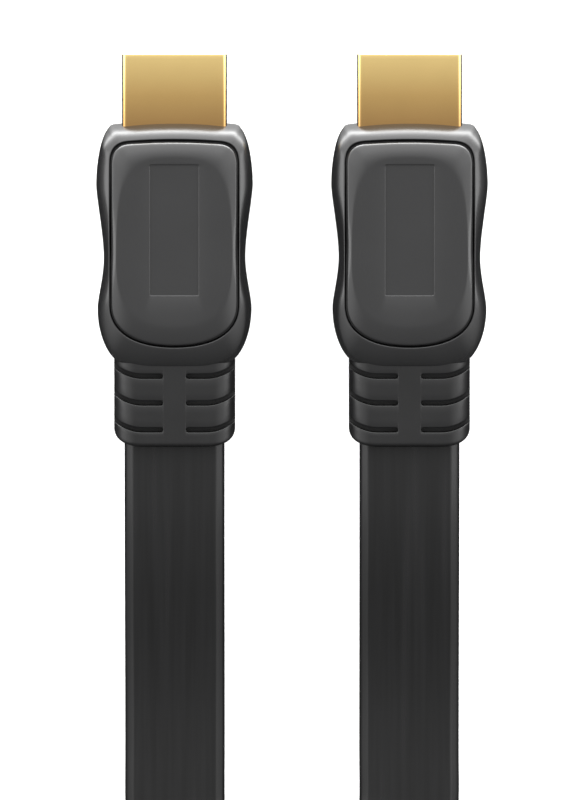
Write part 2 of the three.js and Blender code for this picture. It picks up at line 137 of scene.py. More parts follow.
class CablePlugSettings(bpy.types.PropertyGroup):
    """Sizes and colours of the two plugs"""
    crown_height: bpy.props.FloatProperty(
        name="Crown height", description="Rise of each face above the side walls",
        default=3.2 * MM, unit="LENGTH")
    panel_groove: bpy.props.FloatProperty(
        name="Panel groove", description="Gap between a panel and the housing round it",
        default=0.25 * MM, unit="LENGTH")
    lip_radius: bpy.props.FloatProperty(
        name="Lip radius", description="Rounding of the housing's edge round a panel",
        default=0.17 * MM, unit="LENGTH")
    housing_color: bpy.props.FloatVectorProperty(
        name="Housing colour", description="Colour of the moulded housing",
        subtype="COLOR", size=3, min=0, max=1, default=(0.010, 0.010, 0.0103))
    panel_color: bpy.props.FloatVectorProperty(
        name="Panel colour", description="Colour of the panels let into the housing",
        subtype="COLOR", size=3, min=0, max=1, default=(0.012, 0.012, 0.0123))
    relief_color: bpy.props.FloatVectorProperty(
        name="Strain relief colour", description="Colour of the rubber strain relief",
        subtype="COLOR", size=3, min=0, max=1, default=(0.005, 0.005, 0.0052))
    gold_color: bpy.props.FloatVectorProperty(
        name="Gold colour", description="Colour of the gold plating",
        subtype="COLOR", size=3, min=0, max=1, default=(0.79, 0.585, 0.24))


class CableSettings(bpy.types.PropertyGroup):
    """Sizes and colours of the flat cable and its strap"""
    width: bpy.props.FloatProperty(
        name="Width", description="Width of the flat cable",
        default=13.28 * MM, unit="LENGTH")
    thickness: bpy.props.FloatProperty(
        name="Thickness", description="Thickness of the flat cable",
        default=2.5 * MM, unit="LENGTH")
    length: bpy.props.FloatProperty(
        name="Length", description="Whole length between the plugs", default=1.8, unit="LENGTH")
    jacket_color: bpy.props.FloatVectorProperty(
        name="Jacket colour", description="Colour of the cable's jacket",
        subtype="COLOR", size=3, min=0, max=1, default=(0.0028, 0.0028, 0.0029))
    strap_width: bpy.props.FloatProperty(
        name="Strap width", description="Width of the strap round the coil",
        default=12 * MM, unit="LENGTH")
    strap_color: bpy.props.FloatVectorProperty(
        name="Strap colour", description="Colour of the woven strap",
        subtype="COLOR", size=3, min=0, max=1, default=(0.012, 0.012, 0.0125))


class CableStageSettings(bpy.types.PropertyGroup):
    """Camera, floor and light"""
    camera_distance: bpy.props.FloatProperty(
        name="Camera distance", description="Distance from the plugs to the camera",
        default=1.5, unit="LENGTH")
    camera_tilt: bpy.props.FloatProperty(
        name="Camera tilt", description="Lean of the view away from straight down",
        default=math.radians(2.6), unit="ROTATION")
    framed_height: bpy.props.FloatProperty(
        name="Framed height", description="Height that the view takes in at the plugs",
        default=106.24 * MM, unit="LENGTH")
    light: bpy.props.FloatProperty(
        name="Light", description="Strength of all the studio light", default=1.0, min=0)
    floor_color: bpy.props.FloatVectorProperty(
        name="Floor colour", description="Colour of the floor",
        subtype="COLOR", size=3, min=0, max=1, default=(0.86, 0.86, 0.86))


# ---------------------------------------------------------------- shapes

def trace(start, *arcs, fine=40):
    """Dense points of a path of lines and Bezier arcs, each arc given by its further points"""
    points = [np.array([start], float)]
    t = np.linspace(0, 1, fine + 1)[1:, None]
    for arc in arcs:
        control = np.array([points[-1][-1], *arc], float)
        n = len(control) - 1
        points.append(sum(
            math.comb(n, k) * (1 - t) ** (n - k) * t ** k * control[k] for k in range(n + 1)))
    return np.vstack(points)


def run_along(path):
    """Length of the path up to each of its points"""
    return np.r_[0, np.cumsum(np.linalg.norm(np.diff(path, axis=0), axis=1))]


def spaced(path, shares):
    """Points at the given shares of a path's length"""
    along = run_along(path)
    return np.column_stack([np.interp(shares * along[-1], along, column) for column in path.T])


def mirror_round(right):
    """Closes values given along the right half, from front to back, with the left half"""
    left = right[-2:0:-1].copy()
    if left.ndim == 2:
        left[:, 0] *= -1
    return np.concatenate([right, left])


def ring(plan, height):
    """Points of one ring from its plan points and its height or heights"""
    return np.column_stack([plan, np.broadcast_to(height, len(plan))])


def skin(rings, caps=(None, None), wrap=False):
    """Vertices and quads over a row of closed rings, ends closed to the given middle points"""
    count = len(rings[0])
    vertices = np.vstack(rings)
    faces = []
    last = len(rings) if wrap else len(rings) - 1
    for i in range(last):
        a, b = i * count, (i + 1) % len(rings) * count
        for j in range(count):
            k = (j + 1) % count
            faces.append((a + j, a + k, b + k, b + j))
    for cap, start in zip(caps, (0, (len(rings) - 1) * count)):
        if cap is not None:
            vertices = np.vstack([vertices, cap])
            tip = len(vertices) - 1
            faces += [(start + j, start + (j + 1) % count, tip) for j in range(count)]
    return vertices, faces


def plug_place(vertices, plug):
    """Moves points given as across, behind the tip and up to the plug's place, in metres"""
    low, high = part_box(f"{plug}_shell")
    across = (low[0] + high[0]) / 2
    return np.column_stack([
        across + vertices[:, 0] * MM, (TIP_Y - vertices[:, 1]) * MM,
        (HALF + vertices[:, 2]) * MM])


def add_piece(name, vertices, faces, finish, replaced, sharp=40):
    """One closed mesh in metres that rides on the body and stands for CAD nodes"""
    mesh = bpy.data.meshes.new(name)
    mesh.from_pydata([tuple(v) for v in vertices], [], [tuple(f) for f in faces])
    shaped = bmesh.new()
    shaped.from_mesh(mesh)
    bmesh.ops.remove_doubles(shaped, verts=shaped.verts, dist=1e-7)
    bmesh.ops.dissolve_degenerate(shaped, edges=shaped.edges, dist=1e-7)
    bmesh.ops.recalc_face_normals(shaped, faces=shaped.faces)
    shaped.to_mesh(mesh)
    shaped.free()
    piece = bpy.data.objects.new(name, mesh)
    bpy.context.scene.collection.objects.link(piece)
    return finish_piece(piece, finish, replaced, sharp)


def finish_piece(piece, finish, replaced, sharp=40):
    """Shades a mesh piece, gives it its material and sets it in the frame"""
    piece.data.shade_smooth()
    piece.data.set_sharp_from_angle(angle=math.radians(sharp))
    piece.data.materials.clear()
    piece.data.materials.append(finish)
    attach(piece, "root")
    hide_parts(*replaced)
    return piece


# ---------------------------------------------------------------- materials

def node(tree, kind, x, y, **values):
    """A new node at a place in the tree's editor, with properties set"""
    made = tree.nodes.new(kind)
    made.location = (x, y)
    for name, value in values.items():
        setattr(made, name, value)
    return made


def group_socket(tree, name, direction, kind, default=None):
    """A new input or output of a node group"""
    socket = tree.interface.new_socket(name, in_out=direction, socket_type=kind)
    if default is not None:
        socket.default_value = default
    return socket


def grain_group():
    """Fine moulded or sanded surface: varied colour, varied roughness and a grain height"""
    found = bpy.data.node_groups.get("moulded_grain")
    if found:
        return found
    tree = bpy.data.node_groups.new("moulded_grain", "ShaderNodeTree")
    group_socket(tree, "Coordinates", "INPUT", "NodeSocketVector")
    group_socket(tree, "Color", "INPUT", "NodeSocketColor", (0.02, 0.02, 0.02, 1))
    group_socket(tree, "Roughness", "INPUT", "NodeSocketFloat", 0.4)
    group_socket(tree, "Spread", "INPUT", "NodeSocketFloat", 0.08)
    group_socket(tree, "Grain Scale", "INPUT", "NodeSocketFloat", 4000.0)
    group_socket(tree, "Cloud Scale", "INPUT", "NodeSocketFloat", 180.0)
    group_socket(tree, "Tint", "INPUT", "NodeSocketFloat", 0.25)
    group_socket(tree, "Color", "OUTPUT", "NodeSocketColor")
    group_socket(tree, "Roughness", "OUTPUT", "NodeSocketFloat")
    group_socket(tree, "Height", "OUTPUT", "NodeSocketFloat")
    given = node(tree, "NodeGroupInput", -900, 0)
    result = node(tree, "NodeGroupOutput", 500, 0)
    grain = node(tree, "ShaderNodeTexNoise", -600, 200)
    grain.inputs["Detail"].default_value = 3
    cloud = node(tree, "ShaderNodeTexNoise", -600, -100)
    cloud.inputs["Detail"].default_value = 4
    shade = node(tree, "ShaderNodeMapRange", -300, 100)
    shade.inputs["To Min"].default_value = -1
    links = tree.links
    links.new(given.outputs["Coordinates"], grain.inputs["Vector"])
    links.new(given.outputs["Coordinates"], cloud.inputs["Vector"])
    links.new(given.outputs["Grain Scale"], grain.inputs["Scale"])
    links.new(given.outputs["Cloud Scale"], cloud.inputs["Scale"])
    links.new(cloud.outputs["Fac"], shade.inputs["Value"])
    shade.inputs["From Min"].default_value = 0.3
    shade.inputs["From Max"].default_value = 0.7
    swing = node(tree, "ShaderNodeMath", -100, -50, operation="MULTIPLY")
    links.new(shade.outputs["Result"], swing.inputs[0])
    links.new(given.outputs["Spread"], swing.inputs[1])
    rough = node(tree, "ShaderNodeMath", 100, -50, operation="ADD")
    links.new(swing.outputs[0], rough.inputs[0])
    links.new(given.outputs["Roughness"], rough.inputs[1])
    links.new(rough.outputs[0], result.inputs["Roughness"])
    fleck = node(tree, "ShaderNodeMath", -300, 350, operation="MULTIPLY_ADD")
    links.new(grain.outputs["Fac"], fleck.inputs[0])
    fleck.inputs[1].default_value = 2
    fleck.inputs[2].default_value = -1
    amount = node(tree, "ShaderNodeMath", -100, 350, operation="MULTIPLY_ADD")
    links.new(fleck.outputs[0], amount.inputs[0])
    links.new(given.outputs["Tint"], amount.inputs[1])
    amount.inputs[2].default_value = 1
    tinted = node(tree, "ShaderNodeVectorMath", 150, 250, operation="SCALE")
    links.new(given.outputs["Color"], tinted.inputs[0])
    links.new(amount.outputs[0], tinted.inputs["Scale"])
    links.new(tinted.outputs[0], result.inputs["Color"])
    links.new(grain.outputs["Fac"], result.inputs["Height"])
    return tree


def new_material(name):
    """An empty node material with its shader and output"""
    material = bpy.data.materials.new(name)
    material.use_nodes = True
    tree = material.node_tree
    tree.nodes.clear()
    shader = node(tree, "ShaderNodeBsdfPrincipled", 300, 0)
    out = node(tree, "ShaderNodeOutputMaterial", 600, 0)
    tree.links.new(shader.outputs["BSDF"], out.inputs["Surface"])
    return material, tree, shader


# Each grained material: roughness and its spread, scales of the grain and of the clouds, tint,
# height of the grain in micrometres, and values of further shader sockets
GRAINED = {
    "plated_gold_painted_reflection": (0.2, 0.015, 9000, 260, 0.03, 0.1, {"Metallic": 1.0}),
    "moulded_housing": (0.24, 0.03, 5200, 150, 0.15, 0.8, {}),
    "moulded_panel": (0.24, 0.03, 5200, 120, 0.15, 0.6, {}),
    "moulded_relief": (0.36, 0.04, 4200, 200, 0.25, 1.6, {"Specular IOR Level": 0.32}),
    "moulded_insulator": (0.55, 0.05, 6000, 200, 0.2, 1.5, {}),
}
INSULATOR_COLOR = (0.012, 0.012, 0.0125)

# Painted reflection and shade on the plating, darker and redder from the tip back towards the
# housing:
# length of the fade in millimetres, and the share of the way and the red, green and blue shares at
# its middle and at its end
GOLD_PAINTED_REFLECTION_FADE = 9.3
GOLD_PAINTED_REFLECTION_MIDDLE, GOLD_MIDDLE_PAINTED_SHADE = 0.6, (0.63, 0.55, 0.5)
GOLD_END_PAINTED_SHADE = (0.45, 0.36, 0.33)


def grained_material(name, color):
    """Moulded plastic, rubber or plating with a fine grain on Object coordinates"""
    found = bpy.data.materials.get(name)
    if found:
        return found
    roughness, spread, grain_scale, cloud_scale, tint, bump_um, sockets = GRAINED[name]
    material, tree, shader = new_material(name)
    place = node(tree, "ShaderNodeTexCoord", -700, 0)
    grain = node(tree, "ShaderNodeGroup", -400, 0, node_tree=grain_group())
    tree.links.new(place.outputs["Object"], grain.inputs["Coordinates"])
    for socket, value in (
            ("Color", (*color, 1)), ("Roughness", roughness), ("Spread", spread),
            ("Grain Scale", grain_scale), ("Cloud Scale", cloud_scale), ("Tint", tint)):
        grain.inputs[socket].default_value = value
    bump = node(tree, "ShaderNodeBump", -50, -300)
    bump.inputs["Distance"].default_value = bump_um * 1e-6
    bump.inputs["Strength"].default_value = 1
    tree.links.new(grain.outputs["Height"], bump.inputs["Height"])
    tree.links.new(grain.outputs["Color"], shader.inputs["Base Color"])
    tree.links.new(grain.outputs["Roughness"], shader.inputs["Roughness"])
    tree.links.new(bump.outputs["Normal"], shader.inputs["Normal"])
    for socket, value in sockets.items():
        shader.inputs[socket].default_value = value
    return material


def gold_material_with_painted_reflection(color):
    """Gold plating with a painted reflection and shade, deeper and redder from the tip back towards
    the housing
    """
    found = bpy.data.materials.get("plated_gold_painted_reflection")
    if found:
        return found
    material = grained_material("plated_gold_painted_reflection", color)
    tree = material.node_tree
    place = tree.nodes["Texture Coordinate"]
    part = node(tree, "ShaderNodeSeparateXYZ", -900, 300)
    tree.links.new(place.outputs["Object"], part.inputs[0])
    # Painted reflection and shade: a colour ramp darkens and reddens the gold with distance behind
    # the tip
    back = node(tree, "ShaderNodeMapRange", -750, 300)
    back.inputs["From Min"].default_value = TIP_Y * MM
    back.inputs["From Max"].default_value = (TIP_Y - GOLD_PAINTED_REFLECTION_FADE) * MM
    tree.links.new(part.outputs["Y"], back.inputs["Value"])
    shade = node(tree, "ShaderNodeValToRGB", -600, 300)
    shade.color_ramp.elements[0].color = (*color, 1)
    middle = shade.color_ramp.elements.new(GOLD_PAINTED_REFLECTION_MIDDLE)
    middle.color = (*(c * part for c, part in zip(color, GOLD_MIDDLE_PAINTED_SHADE)), 1)
    end = shade.color_ramp.elements[-1]
    end.color = (*(c * part for c, part in zip(color, GOLD_END_PAINTED_SHADE)), 1)
    tree.links.new(back.outputs["Result"], shade.inputs["Fac"])
    tree.links.new(shade.outputs["Color"], tree.nodes["Group"].inputs["Color"])
    return material


def jacket_material(color):
    """Satin jacket with faint lines along the cable, on the cable's own attributes"""
    material, tree, shader = new_material("satin_jacket")
    across = node(tree, "ShaderNodeAttribute", -1100, 100, attribute_name="across")
    along = node(tree, "ShaderNodeAttribute", -1100, -150, attribute_name="along")
    place = node(tree, "ShaderNodeCombineXYZ", -850, 0)
    tree.links.new(across.outputs["Fac"], place.inputs["X"])
    tree.links.new(along.outputs["Fac"], place.inputs["Y"])
    stretch = node(tree, "ShaderNodeMapping", -650, 0)
    stretch.inputs["Scale"].default_value = (900, 26, 1)
    tree.links.new(place.outputs["Vector"], stretch.inputs["Vector"])
    lines = node(tree, "ShaderNodeTexNoise", -450, 0)
    lines.inputs["Scale"].default_value = 1
    lines.inputs["Detail"].default_value = 3
    tree.links.new(stretch.outputs["Vector"], lines.inputs["Vector"])
    shade = node(tree, "ShaderNodeValToRGB", -200, 100)
    shade.color_ramp.elements[0].position = 0.35
    shade.color_ramp.elements[0].color = (*(c * 0.8 for c in color), 1)
    shade.color_ramp.elements[1].position = 0.7
    shade.color_ramp.elements[1].color = (*(c * 2.6 for c in color), 1)
    tree.links.new(lines.outputs["Fac"], shade.inputs["Fac"])
    tree.links.new(shade.outputs["Color"], shader.inputs["Base Color"])
    rough = node(tree, "ShaderNodeMapRange", -200, -150)
    rough.inputs["To Min"].default_value = 0.36
    rough.inputs["To Max"].default_value = 0.26
    rough.inputs["From Min"].default_value = 0.3
    rough.inputs["From Max"].default_value = 0.7
    tree.links.new(lines.outputs["Fac"], rough.inputs["Value"])
    tree.links.new(rough.outputs["Result"], shader.inputs["Roughness"])
    bump = node(tree, "ShaderNodeBump", -50, -350)
    bump.inputs["Distance"].default_value = 3e-6
    shader.inputs["Specular IOR Level"].default_value = 0.28
    tree.links.new(lines.outputs["Fac"], bump.inputs["Height"])
    tree.links.new(bump.outputs["Normal"], shader.inputs["Normal"])
    return material


def strap_material(color):
    """Woven strap: two crossed rows of threads on the strap's own UV map"""
    material, tree, shader = new_material("woven_strap")
    place = node(tree, "ShaderNodeUVMap", -1100, 0, uv_map="weave")
    warp = node(tree, "ShaderNodeTexWave", -800, 150, bands_direction="X", wave_profile="SIN")
    weft = node(tree, "ShaderNodeTexWave", -800, -150, bands_direction="Y", wave_profile="SIN")
    for wave in (warp, weft):
        wave.inputs["Scale"].default_value = 620
        wave.inputs["Distortion"].default_value = 0.6
        tree.links.new(place.outputs["UV"], wave.inputs["Vector"])
    weave = node(tree, "ShaderNodeMath", -550, 0, operation="MAXIMUM")
    tree.links.new(warp.outputs["Fac"], weave.inputs[0])
    tree.links.new(weft.outputs["Fac"], weave.inputs[1])
    shade = node(tree, "ShaderNodeValToRGB", -300, 100)
    shade.color_ramp.elements[0].color = (*(c * 0.45 for c in color), 1)
    shade.color_ramp.elements[1].color = (*(c * 1.6 for c in color), 1)
    tree.links.new(weave.outputs[0], shade.inputs["Fac"])
    tree.links.new(shade.outputs["Color"], shader.inputs["Base Color"])
    bump = node(tree, "ShaderNodeBump", 0, -300)
    bump.inputs["Distance"].default_value = 6e-5
    tree.links.new(weave.outputs[0], bump.inputs["Height"])
    tree.links.new(bump.outputs["Normal"], shader.inputs["Normal"])
    shader.inputs["Roughness"].default_value = 0.85
    shader.inputs["Sheen Weight"].default_value = 0.3
    return material


# ---------------------------------------------------------------- plugs

def outline_shares():
    """Shares of the way round that suit every ring, with points at the recess's corners"""
    half_round = 2 * RECESS_HALF + RECESS_REAR - RECESS_FRONT
    corner = RECESS_HALF / half_round
    reach = RECESS_CORNER / half_round
    near = np.linspace(corner - reach, corner + reach, 7)
    return np.unique(np.round(np.concatenate([np.linspace(0, 1, 97), near, 1 - near]), 6))


def housing_half():
    """Right half of the housing's outline, from nose to rear"""
    toward_waist, toward_heel = WAIST[1] - GRIP[1], HEEL[1] - WAIST[1]
    return trace(
        (0, NOSE_AT),
        [(SHOULDER[0] / 2, NOSE_AT), SHOULDER],
        [(SHOULDER[0] + 0.75, SHOULDER[1]), CORNER],
        [(CORNER[0] + 0.95, CORNER[1] + 1.06), (GRIP[0], GRIP[1] - 2.98), GRIP],
        [(GRIP[0], GRIP[1] + 0.17 * toward_waist),
         (WAIST[0], WAIST[1] - 0.32 * toward_waist), WAIST],
        [(WAIST[0], WAIST[1] + 0.36 * toward_heel),
         (HEEL[0], HEEL[1] - 0.2 * toward_heel), HEEL],
        [(HEEL[0], HEEL[1] + 3.15), (REAR_CORNER[0] + 1.07, REAR_CORNER[1] - 1), REAR_CORNER],
        [(REAR_CORNER[0] - 1.9, REAR_AT), (REAR_CORNER[0] - 5, REAR_AT)],
        [(0, REAR_AT)],
    )


def plateau_half():
    """Right half of the flat plateau on each face"""
    return trace(
        (0, PLATEAU_FRONT),
        [(0.78 * PLATEAU_HALF, PLATEAU_FRONT),
         (PLATEAU_HALF, PLATEAU_FRONT + 0.1 * (PLATEAU_WIDEST - PLATEAU_FRONT)),
         (PLATEAU_HALF, PLATEAU_WIDEST)],
        [(PLATEAU_HALF, PLATEAU_REAR - 0.27 * (PLATEAU_REAR - PLATEAU_WIDEST)),
         (0.68 * PLATEAU_HALF, PLATEAU_REAR), (0, PLATEAU_REAR)],
    )


def pocket_half(inset):
    """Right half of the opening that a panel sits in, drawn in all round by an inset"""
    width, front, rear = POCKET_HALF - inset, POCKET_FRONT + inset, POCKET_REAR - inset
    return trace(
        (-0.5, front),
        [(0, front)],
        [(3.1, front), (6.2, front + 0.25)],
        [(width, front + 0.5), (width, 14.4)],
        [(width, 33.2)],
        [(width, rear - 1.9), (width - 3.4, rear), (0, rear)],
        [(-0.5, rear)],
    )


def recess_half(grow, radius):
    """Half of the recess's outline, grown outwards, with rounded corners"""
    side, front, rear = RECESS_HALF + grow, RECESS_FRONT - grow, RECESS_REAR + grow
    return trace(
        (0, front),
        [(side - radius, front)],
        [(side, front), (side, front + radius)],
        [(side, rear - radius)],
        [(side, rear), (side - radius, rear)],
        [(0, rear)],
    )


def crossing(start, end, outline):
    """Share of the way from each start to its end at which the outline is crossed"""
    a, b = outline[:-1], outline[1:]
    way, edge = (end - start)[:, None, :], (b - a)[None, :, :]
    gap = a[None, :, :] - start[:, None, :]
    cross = way[..., 0] * edge[..., 1] - way[..., 1] * edge[..., 0]
    cross = np.where(np.abs(cross) < 1e-12, 1e-12, cross)
    share = (gap[..., 0] * edge[..., 1] - gap[..., 1] * edge[..., 0]) / cross
    along = (gap[..., 0] * way[..., 1] - gap[..., 1] * way[..., 0]) / cross
    valid = (along > -1e-6) & (along < 1 + 1e-6) & (share > 0) & (share < 1)
    return np.where(valid, share, 1e9).min(axis=1)


def smooth_step(value, low, high):
    """Rises from 0 to 1 between two values, level at both ends"""
    t = np.clip((value - low) / (high - low), 0, 1)
    return t * t * (3 - 2 * t)


class Crown:
    """One face of the housing: wall, dome and plateau, along lines from its edge inwards"""

    def __init__(self, crown_height):
        shares = outline_shares()
        wall, egg = spaced(housing_half(), shares), spaced(plateau_half(), shares)
        self.shares = shares
        behind = wall[:, 1]
        nose = 1 - smooth_step(behind, *NOSE_FADE)
        nose *= 1 - smooth_step(shares, 0.4, 0.5)
        self.rise = mirror_round(crown_height + (HALF - NOSE_FOOT - crown_height) * nose)
        self.turn = mirror_round(np.radians(SIDE_TURN + NOSE_TURN_MORE * nose))
        self.soften = mirror_round(SIDE_SOFTNESS - NOSE_SOFTNESS_LESS * nose)
        self.nose = mirror_round(nose)
        self.wall, self.egg = mirror_round(wall), mirror_round(egg)
        self.reach = np.linalg.norm(self.egg - self.wall, axis=1)
        limit = 1 - np.cos(self.turn)
        self.slope = self.rise * np.cos(self.turn) / np.sin(self.turn) ** 2 * limit / self.reach

    def share_at(self, turn_share):
        """Share of the way for an even share of the turn from upright to the plateau"""
        turn = self.turn * turn_share
        return (1 - np.cos(turn)) / (1 - np.cos(self.turn))

    def turn_at(self, share):
        """Even share of the turn at a share of the way"""
        return np.arccos(1 - share * (1 - np.cos(self.turn))) / self.turn

    def plan(self, share):
        """Plan points at a share or shares of the way"""
        share = np.reshape(share * np.ones(len(self.wall)), (-1, 1))
        return self.wall + (self.egg - self.wall) * share

    def height(self, share):
        """Heights at a share or shares of the way"""
        share = share * np.ones(len(self.wall))
        cosine = 1 - np.minimum(share, 1) * (1 - np.cos(self.turn))
        raw = HALF - self.rise + self.rise * np.sqrt(1 - cosine ** 2) / np.sin(self.turn)
        raw += self.slope * self.reach * np.maximum(share - 1, 0)
        return HALF - self.soften * np.logaddexp(0, (HALF - raw) / self.soften)

    def pocket(self, inset):
        """Shares of the way at the edge of the opening for a panel"""
        return crossing(self.wall, self.egg, pocket_loop(inset))


def pocket_loop(inset):
    """The whole outline of the opening for a panel"""
    right = pocket_half(inset)
    left = right[::-1] * (-1, 1)
    return np.vstack([right, left])


def rounded_edge(crown, share, radius, steps=5):
    """Rings over an edge that rolls from the crown down into an upright wall, top first"""
    rings = []
    for angle in np.linspace(0, math.pi / 2, steps + 1):
        inward = radius * (1 - np.sin(angle))
        at = share + inward / crown.reach
        drop = radius - np.sqrt(np.maximum(radius ** 2 - (radius - inward) ** 2, 0))
        rings.append(ring(crown.plan(at), crown.height(at) - drop))
    return rings


def housing_mesh(settings):
    """The housing with an opening for a panel in both faces"""
    crown = Crown(settings.crown_height / MM)
    lip = settings.lip_radius / MM
    edge = crown.pocket(0)
    top = []
    start = HALF - crown.rise
    for part in (0.5, 1.0):
        top.append(ring(crown.wall, start * part))
    last = crown.turn_at(edge - lip / crown.reach)
    for part in np.linspace(0, 1, 19)[1:]:
        share = crown.share_at(last * part)
        top.append(ring(crown.plan(share), crown.height(share)))
    for angle in np.linspace(0, math.pi / 2, 6)[1:]:
        outward = lip * (1 - np.sin(angle))
        share = edge - outward / crown.reach
        drop = lip * (1 - np.cos(angle))
        top.append(ring(crown.plan(share), crown.height(share) - drop))
    floor = HALF - POCKET_DEPTH
    top.append(ring(crown.plan(edge), floor + GROOVE_FOOT_UP))
    top.append(ring(crown.plan(edge + GROOVE_FOOT_IN / crown.reach), floor))
    bottom = [layer * (1, 1, -1) for layer in top[::-1]]
    middle = np.array([[0, PANEL_MIDDLE, floor]])
    rings = bottom + [ring(crown.wall, 0.0)] + top
    return skin(rings, (middle * (1, 1, -1), middle))


def panel_mesh(settings):
    """One panel: its rounded rim, the crown over it and the recess in its middle"""
    crown = Crown(settings.crown_height / MM)
    groove = settings.panel_groove / MM
    edge = crown.pocket(groove)
    shares = crown.shares
    radius = PANEL_EDGE + PANEL_EDGE * crown.nose
    seat = HALF - POCKET_DEPTH + PANEL_LIFT
    rings = [ring(crown.plan(edge), seat)]
    rings += rounded_edge(crown, edge, radius)[::-1]
    start = crown.turn_at(edge + radius / crown.reach)
    for part in np.linspace(0, 1, 13)[1:]:
        share = crown.share_at(start + (1 - start) * part)
        rings.append(ring(crown.plan(share), crown.height(share)))
    for inside in (0.08, 0.18, 0.32, 0.55):
        share = 1 + inside / crown.reach
        rings.append(ring(crown.plan(share), crown.height(share)))
    soft = RECESS_EDGE
    for grow, drop in ((soft, 0), (soft / 2, 0.134 * soft), (0.134 * soft, soft / 2), (0, soft)):
        outline = mirror_round(spaced(recess_half(grow, RECESS_CORNER + grow), shares))
        rings.append(ring(outline, HALF - drop))
    base = mirror_round(spaced(recess_half(0, RECESS_CORNER), shares))
    inner = mirror_round(spaced(recess_half(-0.05, RECESS_CORNER - 0.05), shares))
    rings.append(ring(base, HALF - RECESS_DEPTH + 0.05))
    rings.append(ring(inner, HALF - RECESS_DEPTH))
    flat = mirror_round(spaced(recess_half(-0.12, RECESS_CORNER - 0.12), shares))
    rings.append(ring(flat, HALF - RECESS_DEPTH))
    below = np.array([[0, PANEL_MIDDLE, seat]])
    middle = np.array([[0, (RECESS_FRONT + RECESS_REAR) / 2, HALF - RECESS_DEPTH]])
    return skin(rings, (below, middle))


def shell_section(inset, fine=8):
    """Closed cross-section of the shell, drawn in all round by an inset"""
    side, up = SHELL_HALF - inset, SHELL_UP - inset
    chamfer = SHELL_CHAMFER - inset * (2 - math.sqrt(2))
    corner = max(SHELL_CORNER - inset, SHELL_CORNER / 4)
    soft = 0.35
    right = trace(
        (0, up),
        [(side - corner, up)],
        [(side - corner * 0.41, up), (side, up - corner * 0.41), (side, up - corner)],
        [(side, chamfer - up + soft)],
        [(side, chamfer - up), (side - soft, chamfer - up - soft)],
        [(side - chamfer + soft, soft - up)],
        [(side - chamfer, -up), (side - chamfer - soft, -up)],
        [(0, -up)],
        fine=fine,
    )
    return mirror_round(right)


def shell_mesh():
    """The shell as a sleeve of sheet, with its rounded mouth"""
    rings = []
    soft = 0.11

    def layer(inset, behind):
        section = shell_section(inset)
        rings.append(np.column_stack([section[:, 0], np.full(len(section), behind), section[:, 1]]))

    for behind in (SHELL_REAR, 12.0, 6.0, 2.0, 0.6):
        layer(0, behind)
    for angle in np.linspace(0, math.pi / 2, 6):
        layer(soft * (1 - math.cos(angle)), soft * (1 - math.sin(angle)))
    for angle in np.linspace(math.pi / 2, 0, 6):
        layer(SHELL_WALL - soft * (1 - math.cos(angle)), soft * (1 - math.sin(angle)))
    for behind in (0.6, 2.0, 6.0, 12.0, SHELL_REAR):
        layer(SHELL_WALL, behind)
    return skin(rings, wrap=True)


def sweep(across):
    """How far forwards a flex slot runs at a distance from the middle"""
    beyond = np.maximum(np.abs(across), SLOT_STRAIGHT) - SLOT_STRAIGHT
    return SLOT_SWEEP * (beyond / (RELIEF_HALF - SLOT_STRAIGHT)) ** 2


